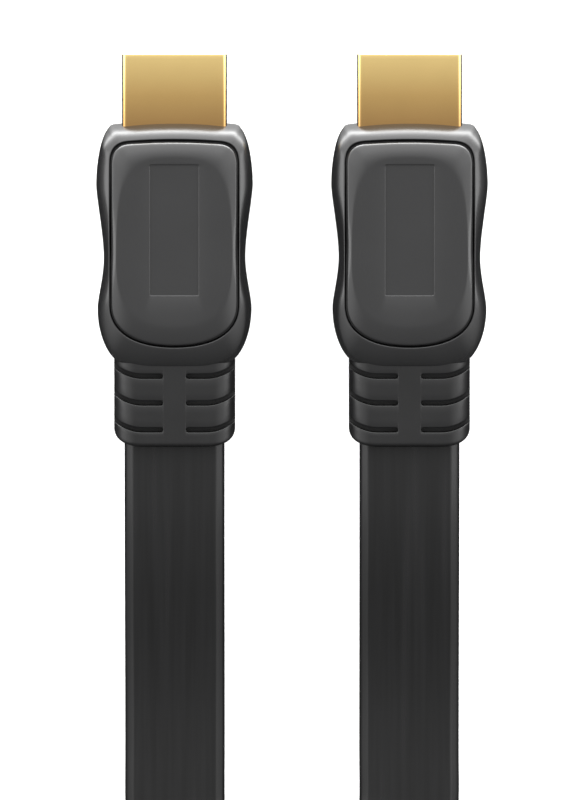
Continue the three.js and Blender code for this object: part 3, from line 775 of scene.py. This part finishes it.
def relief_mesh():
    """The strain relief, its flex slots round-ended and rolled in at their lips"""
    end, lip, soft = 0.31, 0.14, 0.55
    across = np.concatenate([
        [0, 0.5, 0.95], SLOT_INNER - lip * np.array([1, 0.7, 0.4, 0.15]),
        SLOT_INNER + end * (1 - np.cos(np.linspace(0, math.pi / 2, 9))),
        np.linspace(SLOT_INNER + end, RELIEF_HALF - RELIEF_INSET, 12)[1:],
    ])
    turn = np.linspace(0, math.pi / 2, 19)[1:]
    quarter = np.vstack([
        np.column_stack([across, np.full(len(across), RELIEF_UP)]),
        np.column_stack([
            RELIEF_HALF - RELIEF_INSET + RELIEF_INSET * np.sin(turn),
            RELIEF_UP - RELIEF_EDGE + RELIEF_EDGE * np.cos(turn)]),
        [[RELIEF_HALF, 0.45], [RELIEF_HALF, 0]],
    ])
    x, z = quarter.T
    inset = SLOT_INNER + end
    inner = np.maximum(inset - x, 0)
    opening = np.sqrt(np.maximum(end ** 2 - inner ** 2, 0)) * (x >= SLOT_INNER)
    corner = trace(
        (RELIEF_HALF, 50.18), [(7.93, 51.93), (4.43, RELIEF_REAR)], [(0, RELIEF_REAR)])[::-1]
    end_at = np.interp(x, corner[:, 0], corner[:, 1])
    rows = []

    def surface(behind, height, width=None):
        """One full ring from its right upper quarter"""
        wide = x if width is None else width
        top = np.column_stack([wide, behind, height])
        right = np.vstack([top, top[-2::-1] * (1, 1, -1)])
        rows.append(np.vstack([right, right[-2:0:-1] * (-1, 1, 1)]))

    def slot_row(at, offset, inside):
        """A row across a slot, or across one of its lips at an offset outside it"""
        behind = at + (offset * opening if inside else np.sign(offset) * opening + offset)
        distance = np.hypot(inner, behind - at) - end
        depth = np.clip(lip - distance, 0, lip)
        drop = lip - np.sqrt(lip ** 2 - depth ** 2)
        height = z - drop
        if inside:
            height = np.where(x > SLOT_INNER + 0.001, np.minimum(z, SLOT_FLOOR), height)
        else:
            height = np.where(z > SLOT_FLOOR, np.maximum(height, SLOT_FLOOR), z)
        surface(behind - sweep(x), height)

    surface(np.full(len(x), RELIEF_FRONT - 0.5), z)
    first = SLOTS_AT[0] - opening - lip - sweep(x)
    for share in (0.4, 0.75):
        surface(RELIEF_FRONT + (first - RELIEF_FRONT) * share, z)
    for number, at in enumerate(SLOTS_AT):
        for offset in (-1, -0.5, -0.134, -0.02):
            slot_row(at, offset * lip, False)
        for offset in (-0.97, 0.0, 0.97):
            slot_row(at, offset, True)
        for offset in (0.02, 0.134, 0.5, 1):
            slot_row(at, offset * lip, False)
        if at != SLOTS_AT[-1]:
            here = at + opening + lip
            there = SLOTS_AT[number + 1] - opening - lip
            for share in (0.33, 0.67):
                surface(here + (there - here) * share - sweep(x), z)
    tail = SLOTS_AT[-1] + opening + lip - sweep(x)
    for share in (0.3, 0.6, 0.85):
        surface(tail + (end_at - soft - tail) * share, z)
    for angle in np.linspace(0, math.pi / 2, 7):
        draw_in = soft * (1 - math.cos(angle))
        surface(end_at - soft * (1 - math.sin(angle)), z * (1 - draw_in / RELIEF_UP),
                x * (1 - draw_in / RELIEF_HALF))
    front = np.array([[0, RELIEF_FRONT - 0.5, 0]])
    rear = np.array([[0, RELIEF_REAR, 0]])
    return skin(rows, (front, rear))


def contact_strip():
    """Side view of one contact, from its root to its bowed front, run across its width"""
    line = trace((8.25, 0), [(4.9, 0)], [(4.3, 0.02), (3.6, 0.3), (2.6, 0.5)],
                 [(2.2, 0.56), (1.7, 0.45), (1.1, 0.25)], fine=8)
    seat, stock, half = 1.525, 0.2, 0.2
    behind, height = line[:, 0], seat - line[:, 1]
    rings = []
    for b, h in zip(behind, height):
        rings.append(np.array([
            [-half, b, h], [half, b, h], [half, b, h - stock], [-half, b, h - stock]]))
    return skin(rings, (rings[0].mean(axis=0), rings[-1].mean(axis=0)))


# ---------------------------------------------------------------- geometry nodes

def node_tree(name, sizes):
    """A geometry node tree with named inputs and its geometry sockets"""
    tree = bpy.data.node_groups.new(name, "GeometryNodeTree")
    group_socket(tree, "Geometry", "INPUT", "NodeSocketGeometry")
    identifiers = {}
    for label, kind, default in sizes:
        identifiers[label] = group_socket(tree, label, "INPUT", kind, default).identifier
    group_socket(tree, "Geometry", "OUTPUT", "NodeSocketGeometry")
    given = node(tree, "NodeGroupInput", -900, 0)
    result = node(tree, "NodeGroupOutput", 900, 0)
    return tree, given, result, identifiers


def run_tree(host, tree, identifiers, values, name):
    """Sets the inputs, evaluates the host and returns the result as a plain mesh object"""
    modifier = host.modifiers.new("shape", "NODES")
    modifier.node_group = tree
    for label, value in values.items():
        modifier[identifiers[label]] = value
    graph = bpy.context.evaluated_depsgraph_get()
    mesh = bpy.data.meshes.new_from_object(host.evaluated_get(graph))
    host.modifiers.remove(modifier)
    bpy.data.objects.remove(host)
    mesh.name = name
    piece = bpy.data.objects.new(name, mesh)
    bpy.context.scene.collection.objects.link(piece)
    return piece


def host_object(name, vertices, edges=(), faces=()):
    """A plain mesh object, as a host for a node tree or as it is"""
    mesh = bpy.data.meshes.new(name)
    mesh.from_pydata([tuple(v) for v in vertices], list(edges), list(faces))
    host = bpy.data.objects.new(name, mesh)
    bpy.context.scene.collection.objects.link(host)
    return host


def contact_tree():
    """Two rows of contacts, the lower row half a pitch off and turned over"""
    tree, given, result, names = node_tree("contact_rows", (
        ("Upper Count", "NodeSocketInt", UPPER_CONTACTS),
        ("Pitch", "NodeSocketFloat", CONTACT_PITCH * MM),
        ("Finish", "NodeSocketMaterial", None)))
    links = tree.links
    rows = []
    for shift, y in ((0, 200), (1, -200)):
        count = node(tree, "ShaderNodeMath", -700, y, operation="SUBTRACT")
        links.new(given.outputs["Upper Count"], count.inputs[0])
        count.inputs[1].default_value = shift
        start = node(tree, "ShaderNodeMath", -500, y, operation="MULTIPLY")
        links.new(given.outputs["Pitch"], start.inputs[0])
        less = node(tree, "ShaderNodeMath", -600, y - 150, operation="MULTIPLY_ADD")
        links.new(count.outputs[0], less.inputs[0])
        less.inputs[1].default_value = -0.5
        less.inputs[2].default_value = 0.5
        links.new(less.outputs[0], start.inputs[1])
        first = node(tree, "ShaderNodeCombineXYZ", -350, y)
        links.new(start.outputs[0], first.inputs["X"])
        step = node(tree, "ShaderNodeCombineXYZ", -350, y - 150)
        links.new(given.outputs["Pitch"], step.inputs["X"])
        line = node(tree, "GeometryNodeMeshLine", -150, y)
        links.new(count.outputs[0], line.inputs["Count"])
        links.new(first.outputs[0], line.inputs["Start Location"])
        links.new(step.outputs[0], line.inputs["Offset"])
        place = node(tree, "GeometryNodeInstanceOnPoints", 50, y)
        links.new(line.outputs[0], place.inputs["Points"])
        links.new(given.outputs["Geometry"], place.inputs["Instance"])
        place.inputs["Rotation"].default_value = (0, math.pi * shift, 0)
        rows.append(place)
    join = node(tree, "GeometryNodeJoinGeometry", 300, 0)
    for place in rows:
        links.new(place.outputs["Instances"], join.inputs[0])
    real = node(tree, "GeometryNodeRealizeInstances", 500, 0)
    links.new(join.outputs[0], real.inputs[0])
    paint = node(tree, "GeometryNodeSetMaterial", 700, 0)
    links.new(real.outputs[0], paint.inputs["Geometry"])
    links.new(given.outputs["Finish"], paint.inputs["Material"])
    links.new(paint.outputs[0], result.inputs[0])
    return tree, names


def cable_tree():
    """The cable's section swept along its route, keeping the turn that the route gives"""
    tree, given, result, names = node_tree("flat_cable", (
        ("Section", "NodeSocketObject", None), ("Width", "NodeSocketFloat", 13.28 * MM),
        ("Thickness", "NodeSocketFloat", 2.5 * MM), ("Finish", "NodeSocketMaterial", None)))
    links = tree.links
    route = node(tree, "GeometryNodeMeshToCurve", -600, 100)
    links.new(given.outputs["Geometry"], route.inputs["Mesh"])
    facing = node(tree, "GeometryNodeInputNamedAttribute", -600, -100, data_type="FLOAT_VECTOR")
    facing.inputs["Name"].default_value = "facing"
    turned = node(tree, "GeometryNodeSetCurveNormal", -350, 100, mode="FREE")
    links.new(route.outputs["Curve"], turned.inputs["Curve"])
    links.new(facing.outputs["Attribute"], turned.inputs["Normal"])
    info = node(tree, "GeometryNodeObjectInfo", -700, -300)
    links.new(given.outputs["Section"], info.inputs["Object"])
    unit = node(tree, "GeometryNodeMeshToCurve", -500, -300)
    links.new(info.outputs["Geometry"], unit.inputs["Mesh"])
    size = node(tree, "ShaderNodeCombineXYZ", -500, -450)
    links.new(given.outputs["Width"], size.inputs["X"])
    links.new(given.outputs["Thickness"], size.inputs["Y"])
    size.inputs["Z"].default_value = 1
    scaled = node(tree, "GeometryNodeTransform", -300, -300)
    links.new(unit.outputs["Curve"], scaled.inputs["Geometry"])
    links.new(size.outputs[0], scaled.inputs["Scale"])
    spot = node(tree, "GeometryNodeInputPosition", -300, -500)
    part = node(tree, "ShaderNodeSeparateXYZ", -150, -500)
    links.new(spot.outputs[0], part.inputs[0])
    across = node(
        tree, "GeometryNodeStoreNamedAttribute", -50, -300, data_type="FLOAT", domain="POINT")
    across.inputs["Name"].default_value = "across"
    links.new(scaled.outputs["Geometry"], across.inputs["Geometry"])
    links.new(part.outputs["X"], across.inputs["Value"])
    tube = node(tree, "GeometryNodeCurveToMesh", 150, 0)
    tube.inputs["Fill Caps"].default_value = True
    links.new(turned.outputs["Curve"], tube.inputs["Curve"])
    links.new(across.outputs["Geometry"], tube.inputs["Profile Curve"])
    real = node(tree, "GeometryNodeRealizeInstances", 400, 0)
    links.new(tube.outputs["Mesh"], real.inputs[0])
    paint = node(tree, "GeometryNodeSetMaterial", 650, 0)
    links.new(real.outputs[0], paint.inputs["Geometry"])
    links.new(given.outputs["Finish"], paint.inputs["Material"])
    links.new(paint.outputs[0], result.inputs[0])
    return tree, names


# ---------------------------------------------------------------- cable

def spiral(offset, end):
    """Stations of a strand round the coil's axis, from the start of the coil to an angle"""
    stations = []
    for angle in np.linspace(STRAND_START, end, round((end - STRAND_START) / STRAND_STEP) + 1):
        radius = COIL_RADIUS - 2 * STRAND_PITCH * (angle - STRAND_START) / 360 - offset
        turn = math.radians(angle)
        stations.append((
            COIL[0] + radius * math.cos(turn), COIL[1] + radius * math.sin(turn), ON_EDGE, 90))
    return stations


def cable_stations():
    """The whole route: out of plug A, round the coil, back through its bore and to plug B"""
    outer, inner = spiral(0, STRAND_END_A), spiral(STRAND_PITCH, STRAND_END_B)
    fold = [(COIL[0] + x, COIL[1] + y, ON_EDGE, 90) for x, y in FOLD]
    start = (LEAD_A[0][0], LEAD_A[0][1] + INSIDE, *LEAD_A[0][2:])
    end = (LEAD_B[0][0], LEAD_B[0][1] + INSIDE, *LEAD_B[0][2:])
    back = [(x, y, z, -turn) for x, y, z, turn in LEAD_B[::-1]]
    return np.array([start, *LEAD_A, *outer, *fold, *inner[::-1], *back, end], float)


def smooth_route(stations, step=1.5):
    """Centripetal curve through the stations: points in millimetres and turns in degrees"""
    points = stations[:, :3]
    ends = np.vstack([2 * points[0] - points[1], points, 2 * points[-1] - points[-2]])
    gaps = np.sqrt(np.linalg.norm(np.diff(ends, axis=0), axis=1))
    places, turns = [], []
    for i in range(len(points) - 1):
        before, p, q, after = ends[i:i + 4]
        d0, d1, d2 = gaps[i:i + 3]
        leave = ((p - before) / d0 - (q - before) / (d0 + d1) + (q - p) / d1) * d1
        arrive = ((q - p) / d1 - (after - p) / (d1 + d2) + (after - q) / d2) * d1
        count = max(2, round(float(np.linalg.norm(q - p)) / step))
        t = np.arange(count)[:, None] / count
        places.append(
            p + leave * t + (3 * (q - p) - 2 * leave - arrive) * t ** 2
            + (2 * (p - q) + leave + arrive) * t ** 3)
        turns.append(stations[i, 3] + (stations[i + 1, 3] - stations[i, 3]) * t[:, 0])
    return np.vstack([*places, points[-1:]]), np.concatenate([*turns, stations[-1:, 3]])


def over_strap(points, turns):
    """Keeps the cable clear of the floor, and lifts the turns where they lie on the strap"""
    turn = np.radians(np.abs(turns))
    rest = CABLE_HALF[0] * np.sin(turn) + CABLE_HALF[1] * np.cos(turn) + 0.01
    lifted = points.copy()
    lifted[:, 2] = np.maximum(points[:, 2], rest)
    away = np.abs(points[:, 0] - COIL[0])
    lift = STRAP_LIFT * (1 - smooth_step(away, 7.5, 30))
    lift[points[:, 1] > COIL[1] - 40] = 0
    lifted[:, 2] += lift
    return lifted


def section_outline():
    """Cable section of unit width and thickness: flat faces, sloped shoulders, rounded sides"""
    wide, thick = CABLE_HALF
    quarter = trace(
        (0, thick), [(wide - 1.35, thick)], [(wide - 1.12, thick), (wide - 0.98, thick - 0.09)],
        [(wide - 0.36, thick - 0.5)], [(wide, thick - 0.76), (wide, 0)], fine=3)
    right = np.vstack([quarter, quarter[-2::-1] * (1, -1)])
    loop = np.vstack([right, right[-2:0:-1] * (-1, 1)])
    return loop / (2 * wide, 2 * thick)


def build_cable(settings):
    """The cable's piece, its material and its route in metres"""
    places, turns = smooth_route(cable_stations())
    places = over_strap(places, turns)
    way = np.gradient(places, axis=0)
    way /= np.linalg.norm(way, axis=1)[:, None]
    level = np.cross([0, 0, 1], way)
    level /= np.linalg.norm(level, axis=1)[:, None]
    turn = np.radians(turns)[:, None]
    facing = level * np.cos(turn) + np.cross(way, level) * np.sin(turn)
    host = host_object("cable_route", places * MM, [(i, i + 1) for i in range(len(places) - 1)])
    for label, kind, field, values in (
            ("facing", "FLOAT_VECTOR", "vector", facing.ravel()),
            ("along", "FLOAT", "value", run_along(places) * MM)):
        attribute = host.data.attributes.new(label, kind, "POINT")
        attribute.data.foreach_set(field, values.astype(np.float32))
    outline = section_outline()
    section = host_object(
        "cable_section", [(x, y, 0) for x, y in outline],
        [(i, (i + 1) % len(outline)) for i in range(len(outline))])
    tree, names = cable_tree()
    finish = jacket_material(settings.jacket_color)
    piece = run_tree(host, tree, names, {
        "Section": section, "Width": settings.width, "Thickness": settings.thickness,
        "Finish": finish}, "flat_cable")
    bpy.data.objects.remove(section)
    return piece, finish, places * MM


def strap_parts(width):
    """The loop round the turns and the free end laid over it: rings, runs and whether it closes"""
    outer, inner = (COIL[1] - COIL_RADIUS + side for side in STRAP_SIDES)
    low, high = STRAP_STOCK, STRAP_LIFT + 2 * CABLE_HALF[0] + STRAP_GAP
    middle = (outer + inner) / 2

    def loop(out):
        """The rounded loop round the turns, that far outside them, from the middle of its top"""
        y0, y1, z0, z1 = outer - out, inner + out, low - out, high + out
        r = STRAP_CORNER + out
        return trace(
            (middle, z1), [(y0 + r, z1)], [(y0, z1), (y0, z1 - r)], [(y0, z0 + r)],
            [(y0, z0), (y0 + r, z0)], [(y1 - r, z0)], [(y1, z0), (y1, z0 + r)], [(y1, z1 - r)],
            [(y1, z1), (y1 - r, z1)], [(middle, z1)], fine=12)

    half, edge = width / 2, 0.12
    parts = []
    wound, over = np.linspace(0, 1, 221), np.linspace(-0.08, 0.32, 93)
    for near, far, shares, closed in ((0, STRAP_STOCK, wound, True), (*STRAP_LAP, over, False)):
        inside, outside = (spaced(loop(out), shares % 1.0) for out in (near, far))
        rings = []
        for o, i in zip(outside, inside):
            m = (o + i) / 2
            rings.append(np.array([
                (-half + edge, *o), (0, *o), (half - edge, *o), (half, *m),
                (half - edge, *i), (0, *i), (-half + edge, *i), (-half, *m)]))
        parts.append((rings, run_along(outside), closed))
    return parts


# ---------------------------------------------------------------- stage

def build_world(strength):
    """Studio light by direction: broad in front, less at the sides, darkest behind"""
    world = bpy.data.worlds.new("studio")
    bpy.context.scene.world = world
    world.use_nodes = True
    tree = world.node_tree
    tree.nodes.clear()
    links = tree.links
    place = node(tree, "ShaderNodeTexCoord", -1600, 0)
    part = node(tree, "ShaderNodeSeparateXYZ", -1400, 0)
    links.new(place.outputs["Generated"], part.inputs[0])
    square = node(tree, "ShaderNodeMath", -1200, 200, operation="MULTIPLY")
    links.new(part.outputs["X"], square.inputs[0])
    links.new(part.outputs["X"], square.inputs[1])
    total = node(tree, "ShaderNodeMath", -1050, 200, operation="MULTIPLY_ADD")
    links.new(part.outputs["Y"], total.inputs[0])
    links.new(part.outputs["Y"], total.inputs[1])
    links.new(square.outputs[0], total.inputs[2])
    level = node(tree, "ShaderNodeMath", -900, 200, operation="SQRT")
    links.new(total.outputs[0], level.inputs[0])
    ahead = node(tree, "ShaderNodeMath", -750, 200, operation="DIVIDE")
    links.new(part.outputs["Y"], ahead.inputs[0])
    links.new(level.outputs[0], ahead.inputs[1])
    share = node(tree, "ShaderNodeMapRange", -900, -100)
    share.inputs["From Min"].default_value = -1
    links.new(part.outputs["Z"], share.inputs["Value"])

    def weight(low, high, x, y):
        made = node(tree, "ShaderNodeMapRange", x, y, interpolation_type="SMOOTHSTEP")
        made.inputs["From Min"].default_value = low
        made.inputs["From Max"].default_value = high
        links.new(ahead.outputs[0], made.inputs["Value"])
        return made

    def profile(stops, y):
        """Radiance by height, as (sine of the elevation, radiance) pairs"""
        ramp = node(tree, "ShaderNodeValToRGB", -650, y)
        elements = ramp.color_ramp.elements
        for number, (sine, value) in enumerate(stops):
            spot = (sine + 1) / 2
            element = elements[number] if number < 2 else elements.new(spot)
            element.position = spot
            element.color = (*[value / BRIGHTEST] * 3, 1)
        links.new(share.outputs["Result"], ramp.inputs["Fac"])
        return ramp

    front = profile(((-1, 0.5), (1, 0.9), (-0.53, 3.7), (-0.28, 7.5), (-0.1, 27.0), (0.06, 9.0),
                     (0.24, 5.3), (0.6, 4.4), (0.82, 3.6), (0.94, 2.0)), 400)
    side = profile(((-1, 0.02), (1, 0.9), (-0.45, 0.04), (-0.1, 0.4), (0.1, 0.9), (0.5, 1.7),
                    (0.72, 2.3), (0.86, 2.2), (0.95, 1.1)), 100)
    rear = profile(((-1, 0.05), (1, 0.9), (0.0, 0.25), (0.5, 0.35), (0.8, 0.5),
                    (0.95, 0.75)), -250)
    to_front = weight(0.35, 0.9, -600, 700)
    to_rear = weight(-0.3, -0.85, -600, -550)
    blend = node(tree, "ShaderNodeMix", -300, 200, data_type="RGBA")
    links.new(to_front.outputs["Result"], blend.inputs["Factor"])
    links.new(side.outputs["Color"], blend.inputs[6])
    links.new(front.outputs["Color"], blend.inputs[7])
    whole = node(tree, "ShaderNodeMix", -100, 0, data_type="RGBA")
    links.new(to_rear.outputs["Result"], whole.inputs["Factor"])
    links.new(blend.outputs[2], whole.inputs[6])
    links.new(rear.outputs["Color"], whole.inputs[7])
    glow = node(tree, "ShaderNodeBackground", 150, 0)
    glow.inputs["Strength"].default_value = BRIGHTEST * strength
    links.new(whole.outputs[2], glow.inputs["Color"])
    out = node(tree, "ShaderNodeOutputWorld", 400, 0)
    links.new(glow.outputs[0], out.inputs["Surface"])


def build_softboxes(strength):
    """A softbox on each side of the plugs; its reflection fades out along the cable"""
    radiance, apart, ahead, up = 3.7, 0.3, 0.075, 0.14
    for name, side in (("softbox_left", -1), ("softbox_right", 1)):
        data = bpy.data.lights.new(name, "AREA")
        data.shape = "RECTANGLE"
        data.size, data.size_y = 0.24, 0.15
        data.energy = radiance * strength * math.pi * data.size * data.size_y
        box = bpy.data.objects.new(name, data)
        bpy.context.scene.collection.objects.link(box)
        box.location = (side * apart, ahead, up)
        away = Vector((side * apart, 0.0, 0.13))
        box.rotation_euler = away.to_track_quat("Z", "Y").to_euler()


def build_floor(color):
    """A broad floor just below the object, unseen in reflections"""
    reach, drop = 3, -2e-5
    floor = host_object("studio_floor", [
        (-reach, -reach, drop), (reach, -reach, drop), (reach, reach, drop),
        (-reach, reach, drop)], (), [(0, 1, 2, 3)])
    material, _, shader = new_material("studio_floor")
    shader.inputs["Base Color"].default_value = (*color, 1)
    shader.inputs["Roughness"].default_value = 0.9
    shader.inputs["Specular IOR Level"].default_value = 0
    shader.inputs["Emission Color"].default_value = (1, 1, 1, 1)
    shader.inputs["Emission Strength"].default_value = 0.55
    floor.data.materials.append(material)
    floor.visible_glossy = False


def build_camera(settings):
    """The camera almost straight above the plugs"""
    data = bpy.data.cameras.new("camera")
    data.sensor_width = 36
    data.lens = data.sensor_width * settings.camera_distance / settings.framed_height
    data.clip_start, data.clip_end = 0.05, 20
    camera = bpy.data.objects.new("camera", data)
    bpy.context.scene.collection.objects.link(camera)
    tilt = settings.camera_tilt
    middle = (0.0, VIEW_Y * MM, HALF * MM)
    camera.location = (
        middle[0], middle[1] + settings.camera_distance * math.sin(tilt),
        middle[2] + settings.camera_distance * math.cos(tilt))
    camera.rotation_euler = (-tilt, 0, 0)
    bpy.context.scene.camera = camera


# ---------------------------------------------------------------- operators

class CABLE_OT_stage(bpy.types.Operator):
    """Makes the camera, the floor and the studio light"""
    bl_idname = "cable.stage"
    bl_label = "Stage"

    def execute(self, context):
        settings = context.scene.cable_stage
        build_camera(settings)
        build_world(settings.light)
        build_softboxes(settings.light)
        build_floor(settings.floor_color)
        context.scene.view_settings.view_transform = "Standard"
        return {"FINISHED"}


class CABLE_OT_cable(bpy.types.Operator):
    """Makes the flat cable in its coil, and the strap that holds the coil"""
    bl_idname = "cable.cable"
    bl_label = "Cable and Strap"

    def execute(self, context):
        settings = context.scene.cable_cable
        strap = self.make_strap(settings)
        cable, finish, path = build_cable(settings)
        finish_piece(cable, finish, (
            "cable_lead_a", "cable_lead_b", "cable_fold", "cable_coil"))
        return {"FINISHED"}

    def make_strap(self, settings):
        vertices, faces, run_at = [], [], []
        for rings, run, closed in strap_parts(settings.strap_width / MM):
            offset = sum(len(v) for v in vertices)
            caps = (None, None) if closed else (rings[0].mean(axis=0), rings[-1].mean(axis=0))
            rings = rings[:-1] if closed else rings
            part, quads = skin(rings, caps, wrap=closed)
            vertices.append(part)
            faces += [tuple(offset + i for i in face) for face in quads]
            lengths = np.repeat(run[:len(rings)], len(rings[0]))
            run_at += [*lengths, *([] if closed else [0, run[-1]])]
        vertices = np.vstack(vertices)
        vertices = np.column_stack([COIL[0] + vertices[:, 0], vertices[:, 1:]]) * MM
        weave_at = {tuple(np.round(v, 7)): (v[0], a * MM) for v, a in zip(vertices, run_at)}
        strap = add_piece(
            "coil_wrap", vertices, faces, strap_material(settings.strap_color),
            ("coil_strap",), sharp=50)
        layer = strap.data.uv_layers.new(name="weave")
        for loop in strap.data.loops:
            spot = tuple(np.round(strap.data.vertices[loop.vertex_index].co, 7))
            layer.data[loop.index].uv = weave_at.get(spot, (0, 0))
        return strap


class CABLE_OT_shells(bpy.types.Operator):
    """Makes the gold shells, and gives the insulators inside them their finish"""
    bl_idname = "cable.shells"
    bl_label = "Shells and Insulators"

    def execute(self, context):
        settings = context.scene.cable_plug
        vertices, faces = shell_mesh()
        for plug in PLUGS:
            add_piece(f"{plug}_sleeve", plug_place(vertices, plug), faces,
                      gold_material_with_painted_reflection(settings.gold_color),
                      (f"{plug}_shell",), sharp=45)
            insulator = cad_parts[f"{plug}_insulator"]
            insulator.data.materials.clear()
            insulator.data.materials.append(
                grained_material("moulded_insulator", INSULATOR_COLOR))
        return {"FINISHED"}


class CABLE_OT_contacts(bpy.types.Operator):
    """Makes the nineteen contacts of each plug in two rows"""
    bl_idname = "cable.contacts"
    bl_label = "Contacts"

    def execute(self, context):
        finish = gold_material_with_painted_reflection(context.scene.cable_plug.gold_color)
        tree, names = contact_tree()
        vertices, faces = contact_strip()
        for plug in PLUGS:
            host = host_object("contact", vertices * MM, (), faces)
            piece = run_tree(host, tree, names, {
                "Upper Count": UPPER_CONTACTS, "Pitch": CONTACT_PITCH * MM,
                "Finish": finish}, f"{plug}_contacts")
            count = len(piece.data.vertices)
            flat = np.empty(count * 3, np.float32)
            piece.data.vertices.foreach_get("co", flat)
            placed = plug_place(flat.reshape(-1, 3) / MM, plug)
            piece.data.vertices.foreach_set("co", placed.astype(np.float32).ravel())
            tidy = bmesh.new()
            tidy.from_mesh(piece.data)
            bmesh.ops.recalc_face_normals(tidy, faces=tidy.faces)
            tidy.to_mesh(piece.data)
            tidy.free()
            finish_piece(piece, finish, [
                f"{plug}_contact_{pin:02d}" for pin in range(1, 2 * UPPER_CONTACTS)])
        return {"FINISHED"}


class CABLE_OT_housings(bpy.types.Operator):
    """Makes the moulded housings with the panels let into both faces"""
    bl_idname = "cable.housings"
    bl_label = "Housings and Panels"

    def execute(self, context):
        settings = context.scene.cable_plug
        body, body_faces = housing_mesh(settings)
        panel, panel_faces = panel_mesh(settings)
        for plug in PLUGS:
            add_piece(f"{plug}_moulding", plug_place(body, plug), body_faces,
                      grained_material("moulded_housing", settings.housing_color),
                      (f"{plug}_housing",), sharp=50)
            for face, flip in (("top", (1, 1, 1)), ("under", (-1, 1, -1))):
                add_piece(f"{plug}_{face}_inlay", plug_place(panel * flip, plug), panel_faces,
                          grained_material("moulded_panel", settings.panel_color),
                          (f"{plug}_{face}_panel",), sharp=50)
        return {"FINISHED"}


class CABLE_OT_reliefs(bpy.types.Operator):
    """Makes the slotted strain reliefs behind the housings"""
    bl_idname = "cable.reliefs"
    bl_label = "Strain Reliefs"

    def execute(self, context):
        settings = context.scene.cable_plug
        vertices, faces = relief_mesh()
        for plug in PLUGS:
            add_piece(f"{plug}_boot", plug_place(vertices, plug), faces,
                      grained_material("moulded_relief", settings.relief_color),
                      (f"{plug}_strain_relief",), sharp=50)
        return {"FINISHED"}


STEPS = (CABLE_OT_stage, CABLE_OT_cable, CABLE_OT_shells, CABLE_OT_contacts, CABLE_OT_housings,
         CABLE_OT_reliefs)


class CABLE_PT_parts(bpy.types.Panel):
    """Lists the parts of the cable and their settings"""
    bl_label = "Flat Video Cable"
    bl_idname = "CABLE_PT_parts"
    bl_space_type = "VIEW_3D"
    bl_region_type = "UI"
    bl_category = "Cable"

    def draw(self, context):
        layout = self.layout
        for step in STEPS:
            layout.operator(step.bl_idname)
        for group in ("cable_plug", "cable_cable", "cable_stage"):
            box = layout.box()
            settings = getattr(context.scene, group)
            for name in settings.__annotations__:
                box.prop(settings, name)


SETTINGS = {
    "cable_plug": CablePlugSettings, "cable_cable": CableSettings,
    "cable_stage": CableStageSettings}
CLASSES = (*SETTINGS.values(), *STEPS, CABLE_PT_parts)


def register():
    for made in CLASSES:
        bpy.utils.register_class(made)
    for name, group in SETTINGS.items():
        setattr(bpy.types.Scene, name, bpy.props.PointerProperty(type=group))


def unregister():
    for name in SETTINGS:
        delattr(bpy.types.Scene, name)
    for made in reversed(CLASSES):
        bpy.utils.unregister_class(made)


def main():
    """Registers the add-on and runs every step in turn"""
    register()
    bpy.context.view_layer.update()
    for step in STEPS:
        group, name = step.bl_idname.split(".")
        getattr(getattr(bpy.ops, group), name)()


if __name__ == "__main__":
    main()
